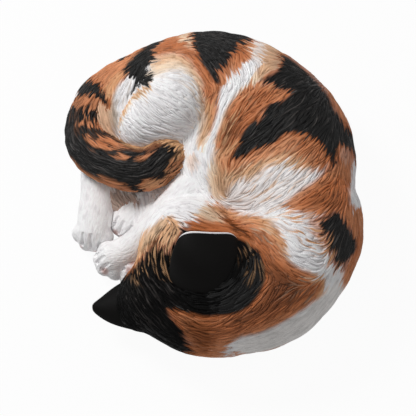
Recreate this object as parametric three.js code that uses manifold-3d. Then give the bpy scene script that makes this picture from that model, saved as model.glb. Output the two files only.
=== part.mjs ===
// A garden statue of a calico cat, curled up asleep on its left side, cast in resin.
// Millimetres, +Z up. +X is the side of the cat's back, +Y the side of its rump, and the head
// lies at -Y. The statue rests on four pads at Z = 0, and its middle is brought over the origin
// at the end.
import * as THREE from 'three';
import Module from 'manifold-3d';
import { mergeVertices } from 'three/addons/utils/BufferGeometryUtils.js';

const wasm = await Module();
wasm.setup();

// How the castings meet
const CLEARANCE = 0.3; // gap kept wherever one piece sits against another
const BODY_FACETS = 16; // fineness of the large body form
const FORM_FACETS = 8; // fineness of the smaller rounded forms
const ROUND_SIDES = 14; // sides around a limb or the tail

// Hollow body casting, its closing plate and the pads
const WALL = 9; // thickness of the body casting
const PLATE_PLACE = [24, 2]; // middle of the oval plate
const PLATE_HALF_WIDTH = 54;
const PLATE_HALF_LENGTH = 84;
const PLATE_THICKNESS = 4;
const LEDGE_WIDTH = 5; // the step in the casting that the plate is pressed up against
const LEDGE_THICKNESS = 3;
const VENT_RADIUS = 6; // drain and vent hole in the middle of the plate
const PAD_RADIUS = 9;
const PAD_HEIGHT = 2;
const PAD_PLACES = [[76, 58], [74, -62], [-84, 74], [-22, -52]];

// Torso: a thick back that curls from the rump round to the nape
const BACK_RADIUS = 56;
const BACK_LENGTHS = 24; // straight lengths that the curled back is made of
const BACK_LINE = [ // the middle of the back, and the share of the radius there
  { x: -59, y: 80, z: 40, swell: 0.775 },
  { x: -33, y: 87, z: 43, swell: 0.86 },
  { x: 1, y: 87, z: 46, swell: 0.965 },
  { x: 35, y: 70, z: 46, swell: 1.015 },
  { x: 63, y: 38, z: 46, swell: 1.005 },
  { x: 66, y: -6, z: 46, swell: 0.95 },
  { x: 71, y: -38, z: 46, swell: 0.967 },
  { x: 45, y: -76, z: 42, swell: 0.975 },
  { x: 12, y: -88, z: 42, swell: 0.922 },
];
const FLANK = { x: 24, y: 29, z: 42, rx: 60, ry: 62, rz: 50 }; // ribs and flank inside the curl
const BELLY = { x: -20, y: 45, z: 28, rx: 46, ry: 44, rz: 34 };
const LAP = { x: -64, y: 20, z: 14, rx: 38, ry: 38, rz: 24 }; // where the feet are drawn in
const HAUNCH = { x: -86, y: 74, z: 24, rx: 37, ry: 44, rz: 27 }; // below the root of the tail
const CHEST = { x: 0, y: -28, z: 25, rx: 66, ry: 60, rz: 33 };
const BODY_MIDDLE = { x: 24, y: 4, z: 36 }; // a point that the whole torso can be seen from
const BODY_MELT = 16; // how softly the swellings of the torso run together

// Right thigh, the high round one, with the shank that runs down under the tail
const THIGH = { x: -31, y: 70, z: 62, rx: 39, ry: 36, rz: 44 };
const KNEE = { x: -52, y: 55, z: 54, rx: 29, ry: 25, rz: 38 };
const SHANK_START = { x: -66, y: 54, z: 30, r: 18 };
const SHANK_END = { x: -92, y: 44, z: 22, r: 13 };
const THIGH_MELT = 10;

// Tail, from its root on the rump, down the left side and across the shank to the tip
const TAIL_ROOT_RADIUS = 21;
const TAIL_RADIUS = 19;
const TAIL_TIP_RADIUS = 16;
const TAIL_LINE = [
  [-65, 98, 50], [-81, 94, 48], [-96, 83, 44], [-106, 67, 40], [-107, 49, 40],
  [-99, 35, 43], [-85, 25, 48], [-67, 17, 54], [-52, 16, 59], [-39, 24, 65],
];

// Hind feet, seen from above with the toes towards -Y
const HIND_HOCK_RADIUS = 17;
const HIND_FOOT_RADIUS = 14;
const RIGHT_HIND_FOOT_LINE = [
  [-96, 36, 24], [-97, 22, 21], [-98, 7, 18], [-100, -11, 15.5], [-102, -26, 14],
];
const LEFT_HIND_FOOT_LINE = [[-47, 17, 19], [-55, 5, 17], [-63, -7, 15], [-71, -16, 14]];
const HIND_TOE_RADIUS = 7.4;
const HIND_TOE_SPREAD = 7;

// Right foreleg, from the chest down to its paw, and the left forepaw tucked under the cheek
const ELBOW_RADIUS = 19;
const WRIST_RADIUS = 13.5;
const FORELEG_LINE = [
  [4, 10, 50], [-14, 0, 56], [-31, -13, 50], [-50, -31, 37], [-68, -43, 23], [-85, -50, 16],
];
const FOREPAW_LINE = [[-44, -68, 18], [-57, -64, 15], [-67, -59, 14]];
const FOREPAW_RADIUS = 12;
const FORE_TOE_RADIUS = 7.6;
const FORE_TOE_SPREAD = 7;
const TUCKED_TOE_RADIUS = 6.6;
const TUCKED_TOE_SPREAD = 5.6;
const TOE_TALLNESS = 1.3; // height of a toe as a share of its width

// Head, rolled on to its left cheek with the face turned in to the curl
const SKULL = { x: -19, y: -58, z: 52, rx: 42, ry: 49, rz: 46 };
const NAPE = { x: -11.5, y: -91, z: 47, rx: 48, ry: 48, rz: 46 };
const CROWN = { x: -40, y: -90, z: 43, rx: 34, ry: 31, rz: 37 };
const MUZZLE = { x: -22, y: -24, z: 33, rx: 27, ry: 24, rz: 25 };
// Swellings of fur that the ears rise from
const RIGHT_EAR_MOUND = { x: 10, y: -70, z: 78, rx: 30, ry: 28, rz: 24 };
const LEFT_EAR_MOUND = { x: -64, y: -94, z: 37, rx: 14, ry: 22, rz: 10 };
const HEAD_MIDDLE = { x: -24, y: -68, z: 46 };
const HEAD_MELT = 12;

// Ears: thin curved sheets. Each is drawn by rows of points on its back, from the rim down to
// the root, which lies below the skin of the head.
const EAR_SKIN = 3.4; // thickness of the sheet
const EAR_FINENESS = 2; // lengths between one drawn point and the next
const RIGHT_EAR = [
  [[-30, -64, 107], [-26, -57, 112], [-5, -56, 113], [16, -53, 104], [21, -57, 98]],
  [[-33, -71, 105], [-27, -67, 112], [-5, -66, 114], [17, -63, 105], [23, -65, 97]],
  [[-35, -77, 101], [-27, -77, 110], [-5, -77, 113], [18, -74, 103], [25, -74, 95]],
  [[-36, -86, 93], [-27, -88, 104], [-5, -89, 109], [18, -84, 98], [25, -82, 90]],
  [[-35, -95, 82], [-26, -98, 92], [-5, -102, 95], [17, -94, 88], [24, -88, 80]],
  [[-32, -100, 72], [-23, -104, 80], [-5, -106, 82], [15, -99, 76], [21, -93, 70]],
];
const LEFT_EAR = [
  [[-99, -100, 28], [-101, -96, 30], [-99, -92, 29]],
  [[-95, -105, 28], [-96, -97, 33], [-94, -88, 30]],
  [[-86, -111, 28], [-87, -98, 36], [-83, -78, 31]],
  [[-74, -115, 28], [-76, -97, 39], [-70, -71, 33]],
  [[-61, -118, 28], [-63, -95, 42], [-59, -67, 35]],
  [[-53, -120, 26], [-54, -95, 42], [-51, -63, 34]],
];

// Colours and finish
const WHITE_COAT = { color: 0xe0dcda, roughness: 0.6, metalness: 0 };
const GINGER_COAT = { color: 0xc07a4a, roughness: 0.6, metalness: 0 };
const BLACK_COAT = { color: 0x1e1c1c, roughness: 0.55, metalness: 0 };
const SMOOTH_BLACK = { color: 0x141212, roughness: 0.45, metalness: 0 };
const BARE_RESIN = { color: 0xcfc9c0, roughness: 0.7, metalness: 0 };
const PAD_FELT = { color: 0x3a3836, roughness: 0.95, metalness: 0 };

// Forms. A form is a function that gives the distance from a point to a rounded surface,
// below zero inside.

// Distance to an ellipsoid.
function egg({ x, y, z, rx, ry, rz }) {
  return (p) => {
    const dx = p.x - x;
    const dy = p.y - y;
    const dz = p.z - z;
    const inward = Math.hypot(dx / rx, dy / ry, dz / rz);
    const slope = Math.hypot(dx / rx ** 2, dy / ry ** 2, dz / rz ** 2);
    return slope < 1e-9 ? -Math.min(rx, ry, rz) : (inward * (inward - 1)) / slope;
  };
}

// Distance to a straight bar with round ends of two radii.
function bar(start, end) {
  const from = new THREE.Vector3(start.x, start.y, start.z);
  const along = new THREE.Vector3(end.x, end.y, end.z).sub(from);
  const offset = new THREE.Vector3();
  return (p) => {
    offset.copy(p).sub(from);
    const share = THREE.MathUtils.clamp(offset.dot(along) / along.lengthSq(), 0, 1);
    const radius = THREE.MathUtils.lerp(start.r, end.r, share);
    return offset.addScaledVector(along, -share).length() - radius;
  };
}

// Several forms run together with a soft valley between them.
function melt(softness, forms) {
  return (p) => {
    let joined = forms[0](p);
    for (let i = 1; i < forms.length; i += 1) {
      const next = forms[i](p);
      const overlap = Math.max(softness - Math.abs(joined - next), 0) / softness;
      joined = Math.min(joined, next) - (overlap * overlap * softness) / 4;
    }
    return joined;
  };
}

// The torso's back as short bars along a curve through its stations.
function curledBack() {
  const swells = BACK_LINE.map((station) => new THREE.Vector2(station.swell, 0));
  const swellLine = new THREE.SplineCurve(swells);
  const line = new THREE.CatmullRomCurve3(BACK_LINE.map((s) => new THREE.Vector3(s.x, s.y, s.z)));
  const ends = Array.from({ length: BACK_LENGTHS + 1 }, (_, i) => {
    const share = i / BACK_LENGTHS;
    const { x, y, z } = line.getPoint(share);
    return { x, y, z, r: BACK_RADIUS * swellLine.getPoint(share).x };
  });
  const bars = ends.slice(1).map((end, i) => bar(ends[i], end));
  return (p) => bars.reduce((nearest, form) => Math.min(nearest, form(p)), Infinity);
}

const back = curledBack();
const torso = melt(BODY_MELT, [back, egg(FLANK), egg(BELLY), egg(LAP), egg(HAUNCH), egg(CHEST)]);
const thigh = melt(THIGH_MELT, [egg(THIGH), egg(KNEE), bar(SHANK_START, SHANK_END)]);
const head = melt(HEAD_MELT, [
  egg(SKULL), egg(NAPE), egg(CROWN), egg(MUZZLE), egg(RIGHT_EAR_MOUND), egg(LEFT_EAR_MOUND),
]);

// Solids

// The closed solid inside a three.js geometry.
function solidOf(geometry) {
  const bare = new THREE.BufferGeometry();
  bare.setAttribute('position', geometry.getAttribute('position'));
  if (geometry.index) bare.setIndex(geometry.index);
  const merged = mergeVertices(bare, 1e-4);
  const corners = merged.index.array;
  const kept = [];
  for (let i = 0; i < corners.length; i += 3) {
    const [a, b, c] = [corners[i], corners[i + 1], corners[i + 2]];
    if (a !== b && b !== c && c !== a) kept.push(a, b, c);
  }
  const make = (triVerts) => new wasm.Manifold(new wasm.Mesh({
    numProp: 3,
    vertProperties: new Float32Array(merged.getAttribute('position').array),
    triVerts: new Uint32Array(triVerts),
  }));
  const solid = make(kept);
  return solid.volume() > 0 ? solid : make(kept.reverse());
}

// Distance from the middle, in one direction, to a form's surface moved outwards by the given
// amount. It is found by stepping from outside inwards, or from inside outwards for a hollow.
function reach(form, middle, direction, outwards, fromInside = false) {
  const place = new THREE.Vector3();
  let distance = fromInside ? 0 : 240;
  for (let step = 0; step < 120; step += 1) {
    place.copy(middle).addScaledVector(direction, distance);
    const gap = form(place) - outwards;
    if (fromInside ? gap > -0.005 : gap < 0.005) break;
    distance -= gap * 0.9;
  }
  return Math.max(distance, 1);
}

// A faceted ball drawn on to the surface of a form.
function wrapped(form, middle, facets, outwards = 0, fromInside = false) {
  const ball = mergeVertices(new THREE.IcosahedronGeometry(1, facets).deleteAttribute('normal')
    .deleteAttribute('uv'), 1e-5);
  const places = ball.getAttribute('position');
  const direction = new THREE.Vector3();
  for (let i = 0; i < places.count; i += 1) {
    direction.fromBufferAttribute(places, i).normalize();
    const length = reach(form, middle, direction, outwards, fromInside);
    places.setXYZ(
      i,
      middle.x + direction.x * length,
      middle.y + direction.y * length,
      middle.z + direction.z * length,
    );
  }
  return solidOf(ball);
}

// A turned bar with rounded ends, bent along a line through the given points. The radius is
// a function of the share of the length.
function limb(points, radiusAt, outwards = 0) {
  const line = new THREE.CatmullRomCurve3(points.map((p) => new THREE.Vector3(...p)));
  const length = line.getLength();
  const rings = Math.ceil(length / 7);
  const profile = [new THREE.Vector2(0, -radiusAt(0) - outwards)];
  for (const turn of [-60, -30]) {
    const radius = radiusAt(0) + outwards;
    const angle = THREE.MathUtils.degToRad(turn);
    profile.push(new THREE.Vector2(radius * Math.cos(angle), radius * Math.sin(angle)));
  }
  for (let ring = 0; ring <= rings; ring += 1) {
    const share = ring / rings;
    profile.push(new THREE.Vector2(radiusAt(share) + outwards, share * length));
  }
  for (const turn of [30, 60]) {
    const radius = radiusAt(1) + outwards;
    const angle = THREE.MathUtils.degToRad(turn);
    profile.push(new THREE.Vector2(radius * Math.cos(angle), length + radius * Math.sin(angle)));
  }
  profile.push(new THREE.Vector2(0, length + radiusAt(1) + outwards));
  const turned = new THREE.LatheGeometry(profile, ROUND_SIDES);
  const places = turned.getAttribute('position');
  for (let i = 0; i < places.count; i += 1) {
    const share = THREE.MathUtils.clamp(places.getY(i) / length, 0, 1);
    const beyond = places.getY(i) - share * length;
    const ahead = line.getTangentAt(share);
    const across = new THREE.Vector3().crossVectors(ahead, new THREE.Vector3(0, 0, 1)).normalize();
    const upwards = new THREE.Vector3().crossVectors(across, ahead);
    const place = line.getPointAt(share)
      .addScaledVector(across, places.getX(i))
      .addScaledVector(upwards, places.getZ(i))
      .addScaledVector(ahead, beyond);
    places.setXYZ(i, place.x, place.y, place.z);
  }
  return solidOf(turned);
}

// Four rounded toes fanned across the round end of a foot of the given radius.
function toes(points, footRadius, radius, spread, outwards = 0) {
  const end = new THREE.Vector3(...points.at(-1));
  const ahead = end.clone().sub(new THREE.Vector3(...points.at(-2))).setZ(0).normalize();
  const across = new THREE.Vector3(ahead.y, -ahead.x, 0);
  const balls = [-1.5, -0.5, 0.5, 1.5].map((place) => {
    const forward = footRadius - radius * (Math.abs(place) > 1 ? 1.6 : 0.7);
    const centre = end.clone().addScaledVector(across, place * spread).addScaledVector(ahead, forward);
    const toe = new THREE.SphereGeometry(radius + outwards, 12, 8);
    toe.rotateX(Math.PI / 2);
    toe.scale(1, 1, TOE_TALLNESS);
    toe.translate(centre.x, centre.y, PAD_HEIGHT + radius * TOE_TALLNESS * 0.9);
    return solidOf(toe);
  });
  return balls.reduce((all, ball) => all.add(ball));
}

// A flat block that reaches from one height to another under the whole statue.
function layer(bottom, top) {
  const block = new THREE.BoxGeometry(600, 600, top - bottom);
  block.translate(0, 0, (bottom + top) / 2);
  return solidOf(block);
}

// An upright round disc.
function disc(radius, [x, y], bottom, top) {
  const cylinder = new THREE.CylinderGeometry(radius, radius, top - bottom, 32);
  cylinder.rotateX(Math.PI / 2);
  cylinder.translate(x, y, (bottom + top) / 2);
  return solidOf(cylinder);
}

const aboveGround = (solid) => solid.intersect(layer(PAD_HEIGHT, 300));

// Only the largest part of a trimmed casting is kept; the others are slivers of its edge.
function largest(solid) {
  return solid.decompose().reduce((a, b) => (a.volume() > b.volume() ? a : b));
}

function tailRadius(share) {
  const rootward = Math.max(1 - share * 4, 0);
  const tipward = Math.max(share * 2 - 1, 0);
  return TAIL_RADIUS + (TAIL_ROOT_RADIUS - TAIL_RADIUS) * rootward
    + (TAIL_TIP_RADIUS - TAIL_RADIUS) * tipward;
}

function hindFoot(line, outwards) {
  const radiusAt = (share) => THREE.MathUtils.lerp(HIND_HOCK_RADIUS, HIND_FOOT_RADIUS, share);
  const digits = toes(line, HIND_FOOT_RADIUS, HIND_TOE_RADIUS, HIND_TOE_SPREAD, outwards);
  return limb(line, radiusAt, outwards).add(digits);
}

function foreleg(outwards) {
  const radiusAt = (share) => THREE.MathUtils.lerp(ELBOW_RADIUS, WRIST_RADIUS, Math.min(share * 1.6, 1));
  const digits = toes(FORELEG_LINE, WRIST_RADIUS, FORE_TOE_RADIUS, FORE_TOE_SPREAD, outwards);
  return limb(FORELEG_LINE, radiusAt, outwards).add(digits);
}

function forepaw(outwards) {
  const digits = toes(FOREPAW_LINE, FOREPAW_RADIUS, TUCKED_TOE_RADIUS, TUCKED_TOE_SPREAD, outwards);
  return limb(FOREPAW_LINE, () => FOREPAW_RADIUS, outwards).add(digits);
}

// Each part's whole form before trimming, moved outwards by the given amount. They are in
// the order in which the castings go together: each is cut to fit the ones before it.
const forms = {
  body: (outwards) => wrapped(torso, BODY_MIDDLE, BODY_FACETS, outwards),
  thigh: (outwards) => wrapped(thigh, THIGH, FORM_FACETS, outwards),
  tail: (outwards) => limb(TAIL_LINE, tailRadius, outwards),
  rightHindFoot: (outwards) => hindFoot(RIGHT_HIND_FOOT_LINE, outwards),
  leftHindFoot: (outwards) => hindFoot(LEFT_HIND_FOOT_LINE, outwards),
  head: (outwards) => wrapped(head, HEAD_MIDDLE, FORM_FACETS + 2, outwards),
  foreleg,
  forepaw,
};
const ORDER = Object.keys(forms);

// The slightly larger copy of a part's form that cuts room for it in its neighbours.
const rooms = {};
function roomFor(name) {
  rooms[name] ??= forms[name](CLEARANCE);
  return rooms[name];
}

// A solid, cut off at the ground and wherever one of the named parts lies.
function fitted(solid, names) {
  return largest(aboveGround(names.reduce((left, name) => left.subtract(roomFor(name)), solid)));
}

function casting(name) {
  return fitted(forms[name](0), ORDER.slice(0, ORDER.indexOf(name)));
}

// An upright oval slab in the plate's place, smaller than the plate's recess by the inset.
function oval(inset, bottom, top) {
  const outline = new THREE.Shape();
  const halfWidth = PLATE_HALF_WIDTH - inset;
  const halfLength = PLATE_HALF_LENGTH - inset;
  outline.absellipse(...PLATE_PLACE, halfWidth, halfLength, 0, Math.PI * 2);
  const settings = { depth: top - bottom, bevelEnabled: false, curveSegments: 40 };
  const slab = new THREE.ExtrudeGeometry(outline, settings);
  slab.translate(0, 0, bottom);
  return solidOf(slab);
}

// The torso as a shell, open underneath, with a stepped opening that takes the plate.
function bodyShell() {
  const recessTop = PAD_HEIGHT + PLATE_THICKNESS + CLEARANCE;
  const ledgeTop = recessTop + LEDGE_THICKNESS;
  const hollow = wrapped(torso, BODY_MIDDLE, FORM_FACETS, -WALL, true);
  const recess = oval(0, 0, recessTop);
  const opening = oval(LEDGE_WIDTH, 0, ledgeTop + 1);
  const cavity = hollow.intersect(layer(ledgeTop, 300)).add(opening).add(recess);
  return largest(aboveGround(forms.body(0)).subtract(cavity));
}

function basePlate() {
  const vent = disc(VENT_RADIUS, PLATE_PLACE, 0, PAD_HEIGHT + 2 * PLATE_THICKNESS);
  return oval(CLEARANCE, PAD_HEIGHT, PAD_HEIGHT + PLATE_THICKNESS).subtract(vent);
}

// Rows of points drawn finer, by smooth curves along the rows and then down the columns.
function refined(rows) {
  const finer = (points) => new THREE.CatmullRomCurve3(points)
    .getPoints((points.length - 1) * EAR_FINENESS);
  const wide = rows.map((row) => finer(row.map((p) => new THREE.Vector3(...p))));
  const columns = wide[0].map((_, j) => finer(wide.map((row) => row[j])));
  return columns[0].map((_, i) => columns.map((column) => column[i]));
}

// An ear: a closed sheet whose back is drawn by the rows, and whose thickness lies below it.
function ear(drawnRows) {
  const rows = refined(drawnRows);
  const tall = rows.length;
  const wide = rows[0].length;
  const at = (i, j) => rows[Math.min(Math.max(i, 0), tall - 1)][Math.min(Math.max(j, 0), wide - 1)];
  const outer = rows.flat();
  const inner = outer.map((point, n) => {
    const i = Math.floor(n / wide);
    const j = n % wide;
    const down = at(i + 1, j).clone().sub(at(i - 1, j));
    const across = at(i, j + 1).clone().sub(at(i, j - 1));
    return point.clone().addScaledVector(down.cross(across).normalize(), -EAR_SKIN);
  });
  const shift = outer.length;
  const corners = [];
  const quad = (a, b, c, d) => corners.push(a, b, c, a, c, d);
  for (let i = 0; i < tall - 1; i += 1) {
    for (let j = 0; j < wide - 1; j += 1) {
      const a = i * wide + j;
      quad(a, a + wide, a + wide + 1, a + 1);
      quad(a + shift, a + 1 + shift, a + wide + 1 + shift, a + wide + shift);
    }
  }
  for (let j = 0; j < wide - 1; j += 1) {
    const last = (tall - 1) * wide + j;
    quad(j, j + 1, j + 1 + shift, j + shift);
    quad(last + 1, last, last + shift, last + 1 + shift);
  }
  for (let i = 0; i < tall - 1; i += 1) {
    const left = i * wide;
    const right = left + wide - 1;
    quad(left + wide, left, left + shift, left + wide + shift);
    quad(right, right + wide, right + wide + shift, right + shift);
  }
  const geometry = new THREE.BufferGeometry().setFromPoints([...outer, ...inner]);
  geometry.setIndex(corners);
  return solidOf(geometry);
}

function pad(place) {
  return disc(PAD_RADIUS, place, 0, PAD_HEIGHT - CLEARANCE);
}

// The statue

const statue = new THREE.Group();

function add(name, solid, finish) {
  const { vertProperties, triVerts, numProp } = solid.getMesh();
  const places = new Float32Array((vertProperties.length / numProp) * 3);
  for (let i = 0; i < places.length / 3; i += 1) {
    places.set(vertProperties.subarray(i * numProp, i * numProp + 3), i * 3);
  }
  const geometry = new THREE.BufferGeometry();
  geometry.setAttribute('position', new THREE.BufferAttribute(places, 3));
  geometry.setIndex(new THREE.BufferAttribute(new Uint32Array(triVerts), 1));
  geometry.computeVertexNormals();
  const mesh = new THREE.Mesh(geometry, new THREE.MeshStandardMaterial({ ...finish, name }));
  mesh.name = name;
  statue.add(mesh);
}

add('body_shell', bodyShell(), GINGER_COAT);
add('right_thigh', casting('thigh'), WHITE_COAT);
add('tail', casting('tail'), BLACK_COAT);
add('right_hind_foot', casting('rightHindFoot'), WHITE_COAT);
add('left_hind_foot', casting('leftHindFoot'), WHITE_COAT);
add('head', casting('head'), BLACK_COAT);
add('right_foreleg', casting('foreleg'), WHITE_COAT);
add('left_forepaw', casting('forepaw'), WHITE_COAT);
add('right_ear', fitted(ear(RIGHT_EAR), ORDER), SMOOTH_BLACK);
add('left_ear', fitted(ear(LEFT_EAR), ORDER), SMOOTH_BLACK);
add('base_plate', basePlate(), BARE_RESIN);
PAD_PLACES.forEach((place, i) => add(`pad_${i + 1}`, pad(place), PAD_FELT));

const middle = new THREE.Box3().setFromObject(statue).getCenter(new THREE.Vector3());
statue.position.set(-middle.x, -middle.y, 0);

export default statue;
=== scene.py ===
"""Garden statue of a calico cat curled up asleep: the look of its painted resin castings."""
import math
from concurrent.futures import ThreadPoolExecutor

import bmesh
import bpy
import numpy as np
from mathutils import Matrix, Vector


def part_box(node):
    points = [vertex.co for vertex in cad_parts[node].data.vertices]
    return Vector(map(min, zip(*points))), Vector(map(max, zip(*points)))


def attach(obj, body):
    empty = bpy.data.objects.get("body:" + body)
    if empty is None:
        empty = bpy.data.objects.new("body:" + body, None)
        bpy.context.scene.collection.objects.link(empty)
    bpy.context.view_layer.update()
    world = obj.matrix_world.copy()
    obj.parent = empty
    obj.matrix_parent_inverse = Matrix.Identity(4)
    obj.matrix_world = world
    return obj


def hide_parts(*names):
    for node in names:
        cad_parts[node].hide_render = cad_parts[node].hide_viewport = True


bl_info = {
    "name": "Sleeping Calico Cat Statue",
    "version": (1, 0, 0),
    "blender": (4, 5, 0),
    "location": "3D View > Sidebar > Cat Statue",
    "description": "Makes the carved and painted castings of a curled sleeping cat statue",
    "category": "Add Mesh",
}

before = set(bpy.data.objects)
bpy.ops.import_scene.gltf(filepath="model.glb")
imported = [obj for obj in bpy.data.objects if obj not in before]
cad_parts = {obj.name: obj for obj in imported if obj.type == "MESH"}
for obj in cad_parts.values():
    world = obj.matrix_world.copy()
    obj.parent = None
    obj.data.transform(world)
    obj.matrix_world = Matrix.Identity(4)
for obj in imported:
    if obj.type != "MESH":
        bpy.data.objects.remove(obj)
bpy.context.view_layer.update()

MM = 0.001
PLATE_PLACE = (24.0, 2.0)  # middle of the base plate in the statue's own millimetres
GROUND = 2.0  # underside of the castings, on top of the pads

# forms of the castings, mm

BACK_RADIUS = 56.0
BACK_LINE = [  # middle of the curled back from rump to nape, and the share of its radius
    (-59, 80, 40, 0.775), (-33, 87, 43, 0.86), (1, 87, 46, 0.965), (35, 70, 46, 1.015),
    (63, 38, 46, 1.005), (66, -6, 46, 0.95), (71, -38, 46, 0.967), (45, -76, 42, 0.975),
    (12, -88, 42, 0.922),
]
FLANK = ((24, 29, 42), (60, 62, 50))
BELLY = ((-20, 45, 28), (46, 44, 34))
LAP = ((-64, 21, 14), (38, 37, 21))
HAUNCH = ((-86, 74, 24), (37, 44, 27))
CHEST = ((0, -28, 25), (66, 60, 33))
THIGH = ((-31, 70, 62), (39, 36, 44))
KNEE = ((-52, 55, 54), (29, 25, 38))
SHANK = ((-66, 54, 30, 18), (-92, 44, 22, 13))
TAIL_LINE = [
    (-65, 98, 50, 21), (-81, 94, 48, 19), (-96, 83, 44, 18), (-106, 67, 40, 18),
    (-107, 49, 40, 18.5), (-99, 35, 43, 19.3), (-85, 25, 48, 19.5), (-67, 17, 54, 19.5),
    (-52, 16, 59, 18), (-39, 24, 65, 16.3),
]
RIGHT_HIND_FOOT_LINE = [
    (-96, 36, 24, 17), (-97, 22, 21, 16), (-98, 7, 18, 15), (-100, -11, 15.5, 15),
    (-102, -26, 14, 14),
]
LEFT_HIND_FOOT_LINE = [(-44, 16, 24, 15), (-53, 6, 22, 15), (-62, -5, 18, 14.5), (-71, -16, 14, 14)]
FORELEG_LINE = [
    (4, 10, 50, 19), (-14, 0, 56, 17), (-31, -13, 50, 14.5), (-50, -31, 37, 13),
    (-68, -43, 23, 13), (-85, -50, 16, 13.5),
]
FOREPAW_LINE = [(-44, -68, 18, 12), (-57, -64, 15, 12), (-67, -59, 14, 12)]
HIND_FOOT_END, FORELEG_END, FOREPAW_END = 14, 13.5, 12  # radii at the toes
SKULL = ((-19, -58, 52), (42, 49, 46))
NAPE = ((-11.5, -91, 47), (48, 48, 46))
CROWN = ((-40, -90, 43), (34, 31, 37))
MUZZLE = ((-22, -24, 33), (27, 24, 25))
EAR_ROOT = ((10, -70, 78), (30, 28, 24))  # the mound under the right ear
LEFT_EAR_ROOT = ((-64, -94, 37), (14, 22, 10))
OUTER_TOE_SET_BACK, INNER_TOE_SET_BACK = 1.6, 0.7  # behind the end of the foot, in toe radii
TOE_MIDDLE = 0.9  # how high a toe's middle lies over the ground, in its own half heights
GROOVE_LIFTS = (8, 34, 60)  # degrees up the end of the foot that a groove passes
GROOVE_OUT, GROOVE_RADIUS = 0.6, 1.9
GROOVE_SPREAD = 0.5  # space between grooves, in radii of the foot's end
FOOT_EDGE = 2.0  # how softly a foot's lower edge is rounded, mm
PLATE_RECESS = (54.0, 84.0, 4.3)  # half lengths and depth of the recess for the base plate


def egg(centre, radii):
    """Distance to an ellipsoid."""
    centre, radii = np.array(centre, float), np.array(radii, float)

    def distance(p):
        x, y, z = ((p[:, i] - centre[i]) / radii[i] for i in range(3))
        inward = np.sqrt(x * x + y * y + z * z)
        slope = np.sqrt((x / radii[0]) ** 2 + (y / radii[1]) ** 2 + (z / radii[2]) ** 2) + 1e-9
        return inward * (inward - 1) / slope
    return distance


def bar(start, end):
    """Distance to a straight bar with round ends of two radii."""
    a, b = np.array(start, float), np.array(end, float)
    along = b[:3] - a[:3]
    ahead = along / (along @ along)

    def distance(p):
        x, y, z = p[:, 0] - a[0], p[:, 1] - a[1], p[:, 2] - a[2]
        share = x * ahead[0] + y * ahead[1] + z * ahead[2]
        np.clip(share, 0, 1, out=share)
        x -= share * along[0]
        y -= share * along[1]
        z -= share * along[2]
        return np.sqrt(x * x + y * y + z * z) - (a[3] + (b[3] - a[3]) * share)
    return distance


def smooth_line(stations, pieces):
    """Points of a smooth curve through stations that may hold a radius as well."""
    points = np.array(stations, float)
    padded = np.vstack([2 * points[0] - points[1], points, 2 * points[-1] - points[-2]])
    line = []
    for share in np.linspace(0, len(points) - 1, pieces + 1):
        i = min(int(share), len(points) - 2)
        t = share - i
        p0, p1, p2, p3 = padded[i:i + 4]
        line.append(0.5 * (2 * p1 + (p2 - p0) * t + (2 * p0 - 5 * p1 + 4 * p2 - p3) * t ** 2
                           + (3 * p1 - p0 - 3 * p2 + p3) * t ** 3))
    return line


def limb(stations, pieces=16):
    """Distance to a smoothly bent bar through stations."""
    line = smooth_line(stations, pieces)
    bars = [bar(a, b) for a, b in zip(line, line[1:])]

    def distance(p):
        nearest = bars[0](p)
        for form in bars[1:]:
            nearest = np.minimum(nearest, form(p))
        return nearest
    return distance


def join(a, b, softness):
    """The lesser of two distances, rounded where they are nearly the same."""
    overlap = np.maximum(softness - np.abs(a - b), 0) / softness
    return np.minimum(a, b) - overlap * overlap * softness / 4


def melt(softness, *forms):
    """Forms run into each other as one, over the given softness in mm."""
    def distance(p):
        joined = forms[0](p)
        for form in forms[1:]:
            joined = join(joined, form(p), softness)
        return joined
    return distance


def grown(form, by):
    """A form made thicker all round."""
    return lambda p: form(p) - by


def without(form, *cutters):
    """A form with room cut out of it."""
    def distance(p):
        left = form(p)
        for cutter in cutters:
            left = np.maximum(left, -cutter(p))
        return left
    return distance


def tucked(form, *neighbours):
    """A form that ends a given way inside each of its neighbours, so that no gap shows."""
    return without(form, *(grown(neighbour, -depth) for neighbour, depth in neighbours))


def standing(form, edge=3.0):
    """A form cut off flat at the ground, with a softly rounded lower edge."""
    return lambda p: -join(-form(p), p[:, 2] - GROUND, edge)


def filleted(form, neighbours, most):
    """A form that rises softly towards its neighbours, by no more than the given amount. Each
    neighbour comes with how far inside it the rise aims and how soft it is, in mm."""
    def distance(p):
        own = form(p)
        risen = own
        for neighbour, inset, softness in neighbours:
            risen = join(risen, neighbour(p) + inset, softness)
        return np.maximum(risen, own - most)
    return distance


def foot_end(stations):
    """The end of a foot, and the level directions ahead of it and across it."""
    end, before = (np.array(s[:3], float) for s in (stations[-1], stations[-2]))
    ahead = (end - before) * (1, 1, 0)
    ahead /= np.linalg.norm(ahead)
    return end, ahead, np.array((ahead[1], -ahead[0], 0))


def toes(stations, foot_radius, radius, spread, tallness=1.3):
    """Four toes fanned across the round end of a foot."""
    end, ahead, across = foot_end(stations)
    digits = []
    for place in (-1.5, -0.5, 0.5, 1.5):
        set_back = OUTER_TOE_SET_BACK if abs(place) > 1 else INNER_TOE_SET_BACK
        centre = end + across * place * spread + ahead * (foot_radius - radius * set_back)
        centre[2] = GROUND + radius * tallness * TOE_MIDDLE
        digits.append(egg(centre, (radius, radius, radius * tallness)))
    return digits


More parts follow.
